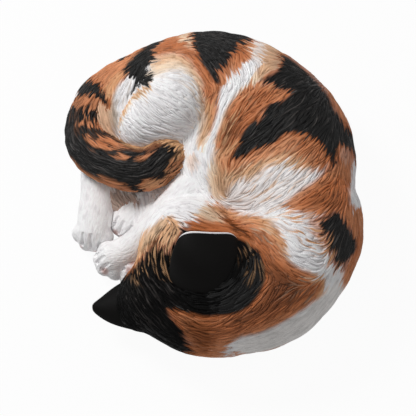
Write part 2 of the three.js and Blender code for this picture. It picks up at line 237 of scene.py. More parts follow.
def toe_grooves(stations, foot_radius, spread):
    """Shallow grooves over the round end of a foot, between its toes."""
    end, ahead, across = foot_end(stations)
    grooves = []
    for place in (-1, 0, 1):
        ring = math.sqrt(max(foot_radius ** 2 - (place * spread) ** 2, 1))
        arc = []
        for lift in np.radians(GROOVE_LIFTS):
            out = ahead * math.cos(lift) + np.array((0, 0, math.sin(lift)))
            middle = end + across * place * spread + out * (ring + GROOVE_OUT)
            arc.append((*middle, GROOVE_RADIUS))
        grooves += [bar(a, b) for a, b in zip(arc, arc[1:])]
    return grooves


def foot(stations, end_radius, toe_radius, toe_spread):
    """A limb with the toes at its end."""
    return melt(3, limb(stations), *toes(stations, end_radius, toe_radius, toe_spread))


back = limb([(x, y, z, BACK_RADIUS * swell) for x, y, z, swell in BACK_LINE], 24)
torso = melt(16, back, egg(*FLANK), egg(*BELLY), egg(*LAP), egg(*HAUNCH), egg(*CHEST))
thigh = melt(10, egg(*THIGH), egg(*KNEE), bar(*SHANK))
tail = limb(TAIL_LINE, 20)
head = melt(12, egg(*SKULL), egg(*NAPE), egg(*CROWN), egg(*MUZZLE), egg(*EAR_ROOT),
             egg(*LEFT_EAR_ROOT))
right_hind_foot = foot(RIGHT_HIND_FOOT_LINE, HIND_FOOT_END, 7.4, 7)
left_hind_foot = foot(LEFT_HIND_FOOT_LINE, HIND_FOOT_END, 7.4, 7)
foreleg = foot(FORELEG_LINE, FORELEG_END, 7.6, 7)
forepaw = foot(FOREPAW_LINE, FOREPAW_END, 6.6, 5.6)

# from a form to a mesh

LEAST_STEEPNESS = 0.2  # of a distance, where forms run into each other
FURTHEST_MOVE = 1.5  # mm in one round


def skin_of(form, low, high, cell):
    """Corner points and four-sided faces round a form, one point for each cell it crosses."""
    low = np.array(low, float) - 2 * cell
    counts = np.ceil((np.array(high, float) + 2 * cell - low) / cell).astype(int) + 1
    steps = np.stack(np.meshgrid(*(np.arange(n) for n in counts), indexing="ij"), -1)
    values = in_lots(form, low + cell * steps.reshape(-1, 3)).reshape(counts)
    total = np.zeros((*counts, 3))
    met = np.zeros(counts)
    faces = []
    for axis in range(3):
        last = [slice(None)] * 3
        first = [slice(None)] * 3
        last[axis], first[axis] = slice(1, None), slice(None, -1)
        before, after = values[tuple(first)], values[tuple(last)]
        index = np.argwhere((before < 0) != (after < 0))
        a, b = before[tuple(index.T)], after[tuple(index.T)]
        point = index.astype(float)
        point[:, axis] += a / (a - b)
        point = low + cell * point
        u, w = (axis + 1) % 3, (axis + 2) % 3
        ring = []
        for du, dw in ((0, 0), (-1, 0), (-1, -1), (0, -1)):
            place = index.copy()
            place[:, u] += du
            place[:, w] += dw
            np.add.at(total, tuple(place.T), point)
            np.add.at(met, tuple(place.T), 1)
            ring.append(np.ravel_multi_index(tuple(place.T), tuple(counts)))
        ring = np.stack(ring, 1)
        ring[a > 0] = ring[a > 0, ::-1]
        faces.append(ring)
    used = np.flatnonzero(met.ravel())
    number = np.full(met.size, -1)
    number[used] = np.arange(len(used))
    points = total.reshape(-1, 3)[used] / met.ravel()[used, None]
    return points, number[np.vstack(faces)]


def in_lots(function, points, lot=30000):
    """A function's values at many points, worked out in lots by several threads."""
    with ThreadPoolExecutor(4) as threads:
        lots = threads.map(function, (np.asfortranarray(points[i:i + lot])
                                      for i in range(0, len(points), lot)))
        return np.concatenate(list(lots))


def slope_of(form, points, step=0.06):
    """Distance and its direction of increase at each point."""
    here = form(points)
    slope = np.empty_like(points)
    for axis in range(3):
        moved = points.copy(order="F")
        moved[:, axis] += step
        slope[:, axis] = (form(moved) - here) / step
    return np.column_stack((here, slope))


def drawn_on(form, points):
    """Points moved on to the surface of a form, with the directions that face out of it."""
    for _ in range(2):
        found = in_lots(lambda p: slope_of(form, p), points)
        steepness = np.maximum((found[:, 1:] ** 2).sum(1), LEAST_STEEPNESS)
        move = np.clip(found[:, 0] / steepness, -FURTHEST_MOVE, FURTHEST_MOVE)
        outward = found[:, 1:] / np.sqrt(steepness)[:, None]
        points = points - found[:, 1:] * move[:, None]
    return points, unit(outward)


def unit(vectors):
    """Vectors of length one."""
    return vectors / np.maximum(np.linalg.norm(vectors, axis=1), 1e-9)[:, None]


def mesh_from(name, points, faces):
    """A mesh whose faces all have the same number of corners."""
    mesh = bpy.data.meshes.new(name)
    mesh.vertices.add(len(points))
    mesh.vertices.foreach_set("co", np.asarray(points, np.float32).ravel())
    faces = np.asarray(faces, np.int32)
    mesh.loops.add(faces.size)
    mesh.loops.foreach_set("vertex_index", faces.ravel())
    mesh.polygons.add(len(faces))
    starts = np.arange(0, faces.size, faces.shape[1], dtype=np.int32)
    mesh.polygons.foreach_set("loop_start", starts)
    mesh.update(calc_edges=True)
    mesh.validate()
    return mesh


def placed(name, data):
    """A new object in the scene."""
    made = bpy.data.objects.new(name, data)
    bpy.context.scene.collection.objects.link(made)
    return made


def refined(points, faces, levels, carried=None):
    """The same skin with each face divided and smoothed by a Subdivision Surface modifier.
    A carried value for each point is smoothed along with it."""
    cage = placed("cage", mesh_from("cage", points, faces))
    if carried is not None:
        cage.data.attributes.new("carried", "FLOAT", "POINT").data.foreach_set("value", carried)
    division = cage.modifiers.new("division", "SUBSURF")
    division.levels = division.render_levels = levels
    division.boundary_smooth = "ALL"
    smooth = cage.evaluated_get(bpy.context.evaluated_depsgraph_get()).to_mesh()
    fine = np.empty(len(smooth.vertices) * 3, np.float32)
    smooth.vertices.foreach_get("co", fine)
    corners = np.empty(len(smooth.loops), np.int32)
    smooth.loops.foreach_get("vertex_index", corners)
    fine, corners = fine.reshape(-1, 3).astype(float), corners.reshape(-1, 4)
    if carried is not None:
        carried = np.empty(len(fine), np.float32)
        smooth.attributes["carried"].data.foreach_get("value", carried)
    cage.to_mesh_clear()
    mesh = cage.data
    bpy.data.objects.remove(cage)
    bpy.data.meshes.remove(mesh)
    return (fine, corners) if carried is None else (fine, corners, carried)


# where the coat changes colour
# Each layer of paint has a name, a colour, a strength, the softness of its edge in mm, and its
# outline in mm across and up from the middle of the picture, in the plane that the camera faces.

COAT_LAYERS = [
    ("back_rim", "ginger", 1.0, 2.1, [(44, 143), (62, 132), (77, 124), (90, 112), (100, 95),
        (110, 75), (117, 52), (132, 48), (140, 90), (128, 135), (97, 168), (56, 176), (42, 160)]),
    # painted shade: brownish grey fur under the tail and between the legs, where shade falls
    ("under_tail_shade", "brown_grey", 0.8, 3.1, [(-104, 22), (-90, 17), (-74, 15), (-59, 12), (-57, 3),
        (-62, -3), (-72, -5), (-79, -15), (-85, -12), (-87, 2), (-92, 12)]),
    ("between_legs", "rust", 0.6, 1.6, [(-74, -4), (-68, -1), (-60, 4), (-58, 3), (-65, -2),
        (-72, -6)]),
    # tan streaks beside the tail's tip, partly painted shade of the recess there
    ("belly_tan", "pale_ginger", 0.45, 3.1, [(-18, 43), (-11, 43), (-7, 38), (-8, 32), (-13, 30),
        (-18, 36)]),
    ("rump_ginger", "ginger", 1.0, 2.1, [(-32, 149), (-47, 132), (-52, 125), (-59, 120), (-63, 115),
        (-64, 111), (-72, 107), (-77, 99), (-80, 93), (-81, 84), (-84, 90), (-87, 97), (-91, 103),
        (-99, 107), (-109, 102), (-107, 124), (-74, 145)]),
    ("rump_tan", "pale_ginger", 0.7, 3.1, [(-70, 112), (-72, 107), (-77, 99), (-80, 90), (-83, 82),
        (-86, 91), (-88, 98), (-84, 102), (-79, 109), (-74, 113)]),
    ("tail_root_tan", "pale_ginger", 0.85, 2.6, [(-100, 104), (-87, 99), (-82, 97), (-80, 93),
        (-79, 83), (-77, 71), (-78, 63), (-74, 56), (-68, 50), (-61, 47), (-74, 43), (-87, 57),
        (-97, 74)]),
    ("valley_shade", "shade", 0.8, 3.1, [(-79, 88), (-74, 80), (-74, 70), (-75, 62), (-80, 68),
        (-82, 79)]),
    ("over_thigh_cream", "cream", 0.9, 4.2, [(-49, 109), (-48, 119), (-44, 125), (-35, 129),
        (-23, 129), (-16, 125), (-13, 119), (-7, 111), (-4, 101), (-4, 93), (-3, 74), (0, 60),
        (-4, 48), (-8, 52), (-7, 69), (-7, 93), (-8, 100), (-12, 109), (-18, 114), (-23, 116),
        (-35, 114), (-43, 111)]),
    ("over_thigh_tan", "pale_ginger", 0.75, 3.7, [(-47, 119), (-44, 127), (-35, 130), (-23, 130),
        (-15, 126), (-10, 117), (-5, 107), (-3, 90), (-5, 90), (-8, 102), (-12, 111), (-18, 119),
        (-25, 123), (-35, 123), (-43, 118)]),
    ("over_thigh", "ginger", 1.0, 2.6, [(-50, 129), (-38, 144), (-23, 149), (-9, 149), (-7, 133),
        (-4, 125), (0, 118), (5, 108), (9, 100), (8, 80), (4, 68), (0, 59), (-1, 74), (-3, 85),
        (-4, 94), (-5, 104), (-8, 112), (-13, 119), (-16, 125), (-23, 129), (-35, 129),
        (-48, 124)]),
    ("over_thigh_rust", "rust", 0.7, 4.2, [(-42, 134), (-33, 142), (-23, 140), (-15, 135),
        (-11, 127), (-3, 115), (2, 107), (4, 94), (1, 94), (-3, 107), (-10, 117), (-15, 125),
        (-22, 132), (-32, 132), (-40, 130)]),
    ("beside_thigh_tan", "pale_ginger", 0.8, 3.1, [(-3, 89), (1, 90), (5, 84), (4, 72), (0, 61),
        (-6, 52), (-8, 57), (-4, 69)]),
    ("pale_top", "cream", 0.9, 3.7, [(-23, 148), (-13, 149), (-13, 140), (-12, 132), (-16, 135),
        (-21, 139)]),
    ("beside_wedge", "ginger", 1.0, 1.9, [(37, 142), (39, 139), (38, 132), (35, 125), (28, 119),
        (21, 111), (13, 101), (8, 94), (4, 94), (3, 104), (7, 105), (10, 112), (14, 117), (20, 124),
        (24, 131), (28, 136)]),
    ("beside_wedge_rust", "rust", 0.75, 1.9, [(27, 135), (32, 138), (34, 132), (30, 125), (23, 122),
        (18, 117), (21, 124), (24, 129)]),
    ("stripe_top_tan", "pale_ginger", 0.35, 4.2, [(35, 140), (45, 137), (46, 129), (40, 124),
        (34, 129)]),
    ("upper_tan", "pale_ginger", 0.9, 3.7, [(47, 140), (62, 134), (66, 125), (63, 119), (57, 114),
        (50, 110), (46, 103), (38, 109), (42, 118), (46, 127)]),
    # painted shade: shaded ginger darkening part of the upper tan
    ("upper_tan_dark", "brown_grey", 0.6, 5.2, [(53, 132), (63, 129), (65, 120), (58, 115),
        (53, 120)]),
    ("stripe_edge_cream", "cream", 0.9, 2.3, [(39, 112), (44, 110), (41, 105), (34, 99), (28, 93),
        (23, 85), (18, 77), (13, 68), (10, 58), (8, 48), (5, 48), (5, 56), (8, 64), (10, 71),
        (13, 79), (17, 86), (22, 93), (28, 99), (35, 105)]),
    ("ribs", "ginger", 1.0, 2.1, [(49, 103), (57, 101), (64, 99), (71, 96), (66, 91), (61, 88),
        (53, 88), (48, 82), (47, 76), (42, 71), (38, 71), (35, 68), (32, 63), (29, 58), (26, 51),
        (22, 43), (16, 40), (11, 42), (7, 48), (6, 54), (8, 62), (12, 71), (15, 80), (19, 88),
        (24, 94), (30, 99), (38, 105), (44, 106)]),
    ("ribs_rust", "rust", 0.75, 4.2, [(45, 99), (57, 97), (52, 91), (45, 85), (40, 77), (32, 72),
        (27, 63), (22, 50), (15, 45), (9, 50), (11, 60), (17, 75), (23, 86), (33, 95)]),
    ("ribs_brown", "deep_ginger", 0.75, 4.2, [(17, 77), (23, 78), (27, 72), (24, 62), (18, 52),
        (13, 50), (10, 57), (12, 67)]),
    ("below_black", "pale_ginger", 0.95, 4.2, [(5, 47), (3, 34), (2, 23), (4, 11), (10, 7), (16, 9),
        (19, 18), (26, 23), (35, 24), (42, 28), (49, 34), (57, 36), (63, 38), (70, 33), (78, 32),
        (87, 33), (94, 32), (110, 48), (102, 57), (77, 74), (43, 65), (20, 53), (12, 48)]),
    ("below_black_ginger", "ginger", 0.85, 4.7, [(8, 42), (12, 30), (20, 28), (32, 33), (43, 38),
        (55, 43), (65, 45), (77, 39), (88, 35), (97, 32), (97, 27), (110, 15), (124, 27), (124, 42),
        (114, 57), (102, 57), (77, 74), (43, 61), (22, 48), (12, 44)]),
    ("below_black_rust", "rust", 0.55, 5.2, [(77, 61), (87, 57), (97, 48), (104, 37), (110, 30),
        (120, 32), (119, 43), (120, 25), (110, 10), (99, 18), (90, 33), (79, 44), (72, 53)]),
    ("left_tongue_cream", "cream", 0.8, 3.1, [(1, 38), (5, 42), (7, 32), (7, 20), (12, 8), (7, 7),
        (2, 13), (0, 25)]),
    ("side", "ginger", 1.0, 2.6, [(62, 3), (68, 8), (77, 15), (87, 21), (95, 27), (102, 33),
        (119, 40), (119, 30), (118, 15), (119, 4), (122, -3), (120, -8), (114, -4), (108, -5),
        (100, -7), (94, -6), (86, -4), (77, -4), (68, -2)]),
    ("side_rust", "rust", 0.7, 4.2, [(74, 5), (85, 13), (97, 21), (105, 27), (119, 25), (118, 10),
        (119, -3), (109, -2), (99, -3), (87, 0), (77, 0)]),
    ("side_brown", "deep_ginger", 0.5, 4.2, [(85, 5), (95, 12), (107, 15), (114, 7), (110, 0),
        (99, -2)]),
    ("right_sliver", "white", 1.0, 1.2, [(120, 36), (119.5, 28), (119, 15), (120, 4), (122, -1),
        (134, 0), (134, 40)]),
    ("fan_shade", "shade", 0.3, 8.0, [(10, 20), (40, 27), (68, 30), (88, 28), (78, 12), (62, 2),
        (40, -3), (15, 2)]),
    ("streaks_ginger", "ginger", 0.7, 4.2, [(82, -4), (95, -8), (99, -20), (101, -31), (104, -40),
        (98, -35), (90, -25), (84, -15)]),
    ("shoulder_rim", "ginger", 1.0, 1.9, [(109, -3), (115, -2), (120, 0), (137, 0), (137, -18),
        (135, -31), (131, -42), (124, -58), (112, -74), (108, -68), (111, -60), (114, -52),
        (117, -44), (123, -37), (124, -27), (120, -21), (117, -14), (113, -7)]),
    ("shoulder_rim_rust", "rust", 0.6, 3.1, [(124, -10), (130, -18), (130, -31), (125, -43),
        (119, -58), (116, -52), (122, -40), (125, -30), (125, -20)]),
    ("neck", "ginger", 1.0, 2.6, [(-10, -8), (-2, -2), (3, 3), (9, 3), (16, 0), (22, -3), (29, -5),
        (38, -6), (46, -8), (53, -14), (61, -20), (64, -26), (63, -33), (68, -44), (77, -51),
        (87, -54), (95, -61), (99, -66), (98, -72), (90, -78), (81, -84), (72, -90), (66, -94),
        (53, -101), (42, -105), (28, -108), (18, -113), (15, -120), (18, -129), (-3, -129),
        (-23, -125), (-15, -114), (-21, -106), (-27, -97), (-34, -84), (-23, -80), (-3, -84),
        (12, -83), (23, -81), (31, -76), (37, -69), (41, -61), (43, -54), (41, -47), (38, -41),
        (31, -36), (20, -28), (6, -25), (-8, -25), (-15, -13)]),
    ("neck_tan", "pale_ginger", 0.6, 3.7, [(-2, 2), (8, 3), (22, -3), (38, -6), (50, -9), (61, -20),
        (65, -28), (68, -42), (63, -38), (57, -28), (48, -18), (38, -12), (23, -9), (12, -5),
        (0, -5)]),
    ("neck_rust", "rust", 0.75, 4.2, [(33, -15), (43, -20), (52, -31), (57, -42), (68, -50),
        (82, -58), (92, -65), (92, -74), (80, -80), (67, -88), (50, -95), (32, -102), (10, -109),
        (3, -120), (-7, -120), (-10, -110), (-17, -99), (-10, -94), (12, -94), (30, -89), (42, -79),
        (48, -68), (52, -55), (48, -42), (40, -30)]),
    ("neck_brown", "deep_ginger", 0.9, 6.3, [(48, -45), (57, -48), (68, -57), (77, -63), (75, -74),
        (63, -82), (48, -89), (32, -94), (18, -95), (32, -88), (42, -79), (48, -67), (51, -55)]),
    ("nape_brown", "deep_ginger", 0.75, 6.3, [(-33, -87), (-23, -90), (-10, -95), (5, -99),
        (5, -110), (0, -120), (-10, -115), (-18, -105), (-27, -95)]),
    ("neck_edge_tan", "pale_ginger", 0.6, 3.1, [(87, -53), (95, -59), (100, -66), (99, -73),
        (91, -78), (89, -74), (94, -68), (89, -61)]),
    ("brow_white", "white", 0.95, 2.6, [(-40, -9), (-33, -3), (-27, 1), (-12, 4), (-3, 4), (-1, 2),
        (-3, -3), (-8, -7), (-18, -6), (-27, -5), (-33, -8)]),
    ("brow_cream", "cream", 0.85, 3.1, [(-10, -5), (-2, 2), (7, -3), (13, -8), (5, -12), (-5, -9)]),
    ("brow_rust", "rust", 0.8, 2.1, [(-18, -10), (-7, -12), (5, -13), (17, -16), (20, -19),
        (12, -21), (-10, -21), (-19, -18)]),
    ("cheek", "pale_ginger", 0.95, 2.6, [(-72, -46), (-66, -34), (-58, -24), (-49, -17), (-41, -11),
        (-32, -6), (-27, -9), (-21, -15), (-23, -23), (-26, -29), (-32, -33), (-38, -32),
        (-43, -28), (-47, -31), (-50, -35), (-53, -40), (-57, -48), (-64, -60), (-76, -62)]),
    ("cheek_cream", "cream", 0.5, 3.1, [(-54, -23), (-47, -16), (-38, -10), (-33, -9), (-37, -17),
        (-43, -23), (-50, -29), (-55, -35)]),
    ("ear_line", "deep_ginger", 0.95, 1.9, [(12, -7), (20, -11), (28, -15), (37, -23), (42, -29),
        (37, -29), (30, -23), (22, -18), (15, -14)]),
    ("ear_line_dark", "black", 0.75, 1.9, [(17, -11), (25, -14), (32, -19), (36, -25), (30, -23),
        (23, -18), (18, -15)]),
    # the smooth near-white neck, painted a little greyer as shade where it turns down and away from
    # the light
    ("neck_grey_and_shade", "grey", 1.0, 3.1, [(99, -63), (112, -64), (114, -77), (102, -102), (77, -120),
        (52, -125), (31, -124), (23, -119), (27, -110), (42, -107), (53, -102), (66, -96),
        (77, -88), (90, -79), (99, -69)]),
    ("neck_rim", "ginger", 0.8, 0.8, [(20, -119), (34, -122), (49, -119), (62, -115), (60, -124),
        (43, -132), (18, -129)]),
    ("rump_wedge", "black", 1.0, 1.4, [(-14, 150), (-3, 151), (14, 150), (28, 147), (38, 141),
        (32, 138), (28, 135), (24, 130), (20, 124), (14, 116), (10, 112), (7, 104), (4, 108),
        (0, 114), (-3, 119), (-7, 124), (-10, 134), (-13, 140)]),
    ("tongue", "soft_black", 1.0, 1.4, [(-33, 145), (-36, 141), (-43, 135), (-46, 132), (-44, 126),
        (-47, 121), (-49, 119), (-53, 116), (-47, 113), (-46, 107), (-51, 103), (-59, 101),
        (-64, 97), (-68, 93), (-66, 97), (-63, 101), (-61, 107), (-63, 108), (-68, 111), (-71, 115),
        (-68, 120), (-63, 126), (-57, 131), (-53, 133), (-48, 139)]),
    ("back", "black", 1.0, 1.4, [(62, 128), (68, 125), (77, 118), (84, 112), (94, 102), (101, 92),
        (105, 83), (110, 74), (116, 68), (124, 57), (127, 38), (124, 38), (122, 43), (119, 49),
        (115, 51), (111, 52), (107, 49), (108, 43), (109, 38), (104, 36), (100, 42), (98, 49),
        (92, 54), (87, 59), (79, 63), (75, 65), (71, 64), (64, 62), (59, 58), (55, 53), (49, 53),
        (42, 52), (37, 48), (31, 43), (26, 42), (19, 40), (21, 46), (27, 53), (28, 60), (32, 67),
        (36, 71), (40, 74), (43, 72), (48, 78), (49, 84), (53, 88), (61, 88), (66, 92), (71, 96),
        (64, 99), (57, 101), (49, 104), (47, 107), (53, 112), (59, 114), (62, 120)]),
    ("shoulder", "black", 1.0, 1.4, [(96, -8), (100, -7), (108, -5), (113, -7), (116, -13),
        (119, -21), (124, -25), (124, -33), (121, -40), (116, -42), (114, -48), (110, -50),
        (107, -48), (105, -41), (102, -35), (99, -25), (98, -18), (95, -12)]),
    ("tail_root_band", "black", 1.0, 1.6, [(-102, 108), (-95, 106), (-92, 102), (-88, 98),
        (-84, 93), (-83, 85), (-87, 88), (-91, 90), (-95, 92), (-104, 93), (-110, 92), (-115, 95),
        (-109, 105)]),
    ("crown", "deep_black", 1.0, 2.3, [(-80, -58), (-66, -54), (-58, -47), (-54, -42), (-50, -36),
        (-47, -32), (-43, -28), (-38, -33), (-32, -34), (-26, -30), (-23, -23), (-20, -19),
        (-10, -20), (6, -20), (22, -23), (35, -31), (44, -37), (47, -46), (49, -55), (47, -64),
        (42, -74), (35, -82), (25, -88), (12, -90), (-3, -91), (-23, -86), (-33, -85), (-30, -92),
        (-23, -102), (-18, -112), (-12, -121), (-23, -124), (-57, -106), (-99, -98), (-107, -77),
        (-92, -62)]),
]
THIGH_LAYERS = [
    ("lip_cream", "cream", 0.95, 2.1, [(-47, 104), (-57, 98), (-65, 94), (-70, 87), (-74, 79),
        (-77, 70), (-80, 60), (-75, 57), (-74, 67), (-70, 77), (-66, 84), (-62, 89), (-55, 93),
        (-46, 99)]),
    ("lip", "pale_ginger", 0.9, 1.6, [(-47, 105), (-57, 99), (-66, 94), (-71, 88), (-74, 80),
        (-78, 69), (-82, 58), (-79, 58), (-74, 70), (-71, 79), (-68, 85), (-63, 91), (-56, 95),
        (-47, 100)]),
]
TAIL_LAYERS = [
    ("inner_edge_tan", "pale_ginger", 0.9, 2.1, [(-87, 100), (-84, 90), (-83, 79), (-84, 72),
        (-82, 65), (-78, 60), (-73, 55), (-67, 51), (-58, 48), (-48, 49), (-40, 53), (-35, 56),
        (-40, 58), (-57, 53), (-70, 57), (-75, 69), (-77, 90), (-82, 104)]),
    ("root_ginger", "ginger", 1.0, 2.1, [(-107, 132), (-74, 124), (-75, 104), (-81, 84), (-84, 90),
        (-87, 97), (-91, 103), (-99, 107), (-107, 104), (-115, 115)]),
    ("root_band", "black", 1.0, 1.6, [(-102, 108), (-95, 106), (-92, 102), (-88, 98), (-84, 93),
        (-83, 85), (-87, 88), (-91, 90), (-95, 92), (-104, 93), (-110, 92), (-119, 92), (-119, 104),
        (-109, 110)]),
    ("band_1", "ginger", 0.85, 1.4, [(-114, 91), (-109, 92), (-103, 93), (-95, 92), (-89, 89),
        (-85, 85), (-82, 80), (-83, 76), (-86, 78), (-91, 81), (-97, 82), (-105, 83), (-111, 84),
        (-115, 85)]),
    ("band_2", "ginger", 1.0, 1.4, [(-111, 71), (-104, 74), (-95, 74), (-88, 71), (-84, 66),
        (-82, 63), (-88, 64), (-94, 66), (-101, 67), (-107, 67), (-111, 68)]),
    ("band_3", "ginger", 1.0, 1.4, [(-103, 58), (-97, 60), (-89, 60), (-81, 59), (-76, 56),
        (-70, 52), (-66, 48), (-72, 48), (-78, 49), (-83, 48), (-91, 50), (-97, 52), (-101, 55)]),
    ("band_rust", "rust", 0.6, 2.1, [(-97, 58), (-87, 58), (-79, 54), (-75, 50), (-85, 51),
        (-94, 53)]),
    ("fleck_1", "ginger", 0.95, 1.4, [(-78, 44), (-72, 46), (-66, 43), (-68, 40), (-74, 40)]),
    ("fleck_2", "ginger", 0.8, 1.4, [(-61, 40), (-54, 44), (-47, 45), (-51, 41), (-56, 39)]),
    ("upper_brown", "deep_ginger", 0.9, 1.6, [(-72, 51), (-65, 48), (-57, 47), (-48, 47), (-42, 50),
        (-38, 54), (-43, 56), (-50, 51), (-58, 49), (-65, 51)]),
    ("lower_left", "ginger", 0.9, 1.6, [(-122, 52), (-117, 45), (-111, 38), (-104, 31), (-94, 26),
        (-89, 23), (-87, 13), (-104, 13), (-124, 32)]),
    ("lower_left_tan", "pale_ginger", 0.7, 1.9, [(-119, 40), (-112, 36), (-104, 28), (-92, 23),
        (-89, 15), (-104, 13), (-122, 30)]),
    ("lower_mid", "ginger", 1.0, 1.9, [(-89, 27), (-84, 25), (-79, 23), (-72, 19), (-63, 15),
        (-58, 12), (-59, 7), (-80, 7), (-92, 13), (-93, 22)]),
    ("lower_edge_tan", "pale_ginger", 0.7, 2.1, [(-104, 22), (-90, 17), (-80, 13), (-70, 9),
        (-60, 8), (-60, 3), (-90, 7), (-107, 13)]),
    ("lower_right", "ginger", 0.95, 1.9, [(-58, 22), (-47, 25), (-39, 23), (-33, 21), (-40, 13),
        (-48, 9), (-56, 8), (-54, 15)]),
    ("lower_right_tan", "pale_ginger", 0.6, 2.1, [(-52, 23), (-43, 24), (-38, 22), (-43, 17),
        (-51, 17)]),
    ("tip", "pale_ginger", 1.0, 1.9, [(-40, 56), (-36, 59), (-28, 60), (-21, 55), (-15, 47),
        (-14, 38), (-18, 28), (-26, 20), (-33, 15), (-40, 17), (-38, 22), (-36, 28), (-34, 36),
        (-29, 42), (-25, 46), (-28, 51), (-33, 53)]),
    ("tip_ginger", "ginger", 0.8, 2.1, [(-31, 40), (-25, 43), (-21, 42), (-22, 33), (-27, 26),
        (-33, 20), (-38, 21), (-35, 28), (-33, 36)]),
]
# strands of another colour that are strewn through the coat
COAT_FLECKS = [
    # painted shade: strands of shaded white in the valley between the tail and the thigh
    ("valley_shade_strands", "shade", 0.5, 2.1, [(-77, 97), (-64, 107), (-63, 103), (-67, 95), (-70, 88),
        (-74, 80), (-74, 70), (-77, 65), (-79, 75), (-79, 88)]),
    ("cheek_dark", "black", 0.9, 4.2, [(-66, -50), (-54, -30), (-48, -25), (-42, -18), (-32, -8),
        (-20, -11), (-12, -17), (-17, -20), (-22, -23), (-27, -32), (-30, -40), (-40, -42),
        (-48, -42)]),
    ("crown_left", "pale_ginger", 0.6, 4.2, [(-63, -62), (-60, -45), (-55, -35), (-47, -30),
        (-37, -32), (-27, -32), (-23, -42), (-25, -55), (-35, -60), (-47, -57), (-55, -57),
        (-60, -65)]),
    # light strands over the black crown: partly drybrushed grey and partly a painted highlight
    ("crown_low", "rub_and_glint_black", 0.22, 5.2, [(-65, -60), (-48, -57), (-32, -60), (-27, -77),
        (-32, -94), (-48, -102), (-60, -94), (-67, -77)]),
    ("crown_right", "pale_ginger", 0.3, 4.2, [(20, -22), (35, -30), (45, -38), (48, -50), (48, -65),
        (40, -70), (32, -57), (27, -40)]),
    ("brow_strands", "deep_ginger", 0.8, 3.1, [(-30, -5), (-15, -3), (-2, 0), (10, 0), (23, -5),
        (35, -12), (42, -22), (32, -18), (18, -12), (2, -12), (-15, -15), (-27, -13)]),
    ("neck_pale", "cream", 0.7, 4.2, [(37, -7), (50, -10), (62, -22), (67, -37), (77, -50),
        (92, -60), (95, -70), (82, -77), (67, -77), (57, -70), (65, -60), (57, -42), (45, -27),
        (35, -17)]),
    ("neck_dark", "deep_ginger", 0.85, 6.3, [(35, -18), (48, -27), (57, -45), (77, -60), (90, -68),
        (77, -82), (52, -95), (27, -104), (5, -110), (-7, -102), (18, -95), (43, -82), (52, -65),
        (48, -40)]),
    ("streaks", "ginger", 0.95, 5.2, [(63, 2), (80, -3), (95, -7), (100, -20), (103, -33),
        (108, -45), (112, -53), (102, -52), (92, -42), (82, -32), (74, -22), (67, -10)]),
    ("streaks_tan", "pale_ginger", 0.7, 6.3, [(50, 0), (68, 0), (87, -5), (97, -15), (102, -32),
        (107, -45), (95, -45), (80, -35), (67, -22), (55, -10)]),
    ("fan_tan", "pale_ginger", 0.6, 6.3, [(25, 18), (45, 27), (68, 30), (85, 27), (77, 15), (60, 5),
        (40, 2), (25, 5)]),
    ("ribs_pale", "pale_ginger", 0.7, 4.2, [(35, 104), (48, 104), (57, 99), (45, 92), (35, 84),
        (27, 74), (20, 62), (13, 52), (8, 55), (12, 70), (20, 87), (28, 97)]),
    ("below_pale", "cream", 0.6, 5.2, [(12, 23), (20, 32), (35, 40), (52, 48), (68, 55), (82, 50),
        (94, 40), (90, 33), (70, 33), (50, 33), (33, 25), (20, 17)]),
    ("below_dark", "rust", 0.8, 5.2, [(32, 43), (47, 50), (65, 60), (80, 62), (95, 48), (105, 35),
        (119, 37), (119, 15), (114, -2), (97, 0), (77, 5), (95, 23), (77, 40), (57, 45), (40, 38)]),
    ("rump_pale", "pale_ginger", 0.6, 5.2, [(-107, 107), (-90, 120), (-74, 129), (-62, 130),
        (-70, 120), (-74, 109), (-82, 95), (-87, 97), (-92, 104)]),
    ("rump_dark", "rust", 0.7, 5.2, [(-105, 110), (-92, 124), (-74, 132), (-57, 135), (-67, 125),
        (-74, 115), (-84, 109), (-94, 107)]),
    ("thigh_top_dark", "rust", 0.6, 4.2, [(-43, 132), (-32, 140), (-15, 137), (-7, 125), (2, 110),
        (5, 97), (-2, 99), (-10, 114), (-18, 125), (-32, 129)]),
    ("wedge_edge", "ginger", 0.6, 3.1, [(25, 137), (37, 140), (35, 127), (23, 117), (12, 107),
        (7, 104), (12, 115), (20, 125)]),
]
THIGH_FLECKS = [
    ("thigh_cream", "cream", 0.6, 6.3, [(-48, 124), (-23, 127), (-8, 112), (-3, 94), (-3, 65),
        (-10, 57), (-13, 82), (-18, 104), (-32, 112), (-48, 107)]),
    # painted shade: a faint layer of shaded white over the thigh
    ("thigh_shade", "shade", 0.12, 8.4, [(-75, 74), (-65, 90), (-48, 104), (-23, 112), (-8, 99),
        (-5, 74), (-15, 53), (-40, 48), (-65, 52)]),
]
TAIL_FLECKS = [
    # light strands over the black tail: partly drybrushed grey and partly a painted highlight
    ("tail_grey", "rub_and_glint_black", 0.12, 4.2, [(-120, 74), (-107, 67), (-94, 48), (-74, 38),
        (-48, 37), (-37, 48), (-33, 40), (-40, 25), (-57, 20), (-80, 23), (-99, 30), (-112, 43),
        (-120, 57)]),
    ("band_streaks", "ginger", 0.35, 4.2, [(-115, 94), (-99, 92), (-85, 82), (-84, 63), (-74, 52),
        (-67, 47), (-80, 45), (-97, 48), (-107, 57), (-115, 74)]),
    ("tip_dark", "black", 0.9, 3.1, [(-40, 57), (-30, 57), (-22, 48), (-18, 38), (-23, 27),
        (-33, 18), (-40, 20), (-35, 35), (-30, 43)]),
    ("root_dark", "black", 0.5, 3.1, [(-99, 105), (-87, 99), (-80, 87), (-79, 74), (-77, 62),
        (-70, 53), (-60, 47), (-68, 47), (-80, 57), (-87, 70), (-87, 87)]),
    ("band_dark", "black", 0.9, 3.1, [(-115, 94), (-99, 94), (-84, 84), (-82, 62), (-68, 50),
        (-67, 40), (-80, 42), (-97, 50), (-107, 57), (-114, 74)]),
]
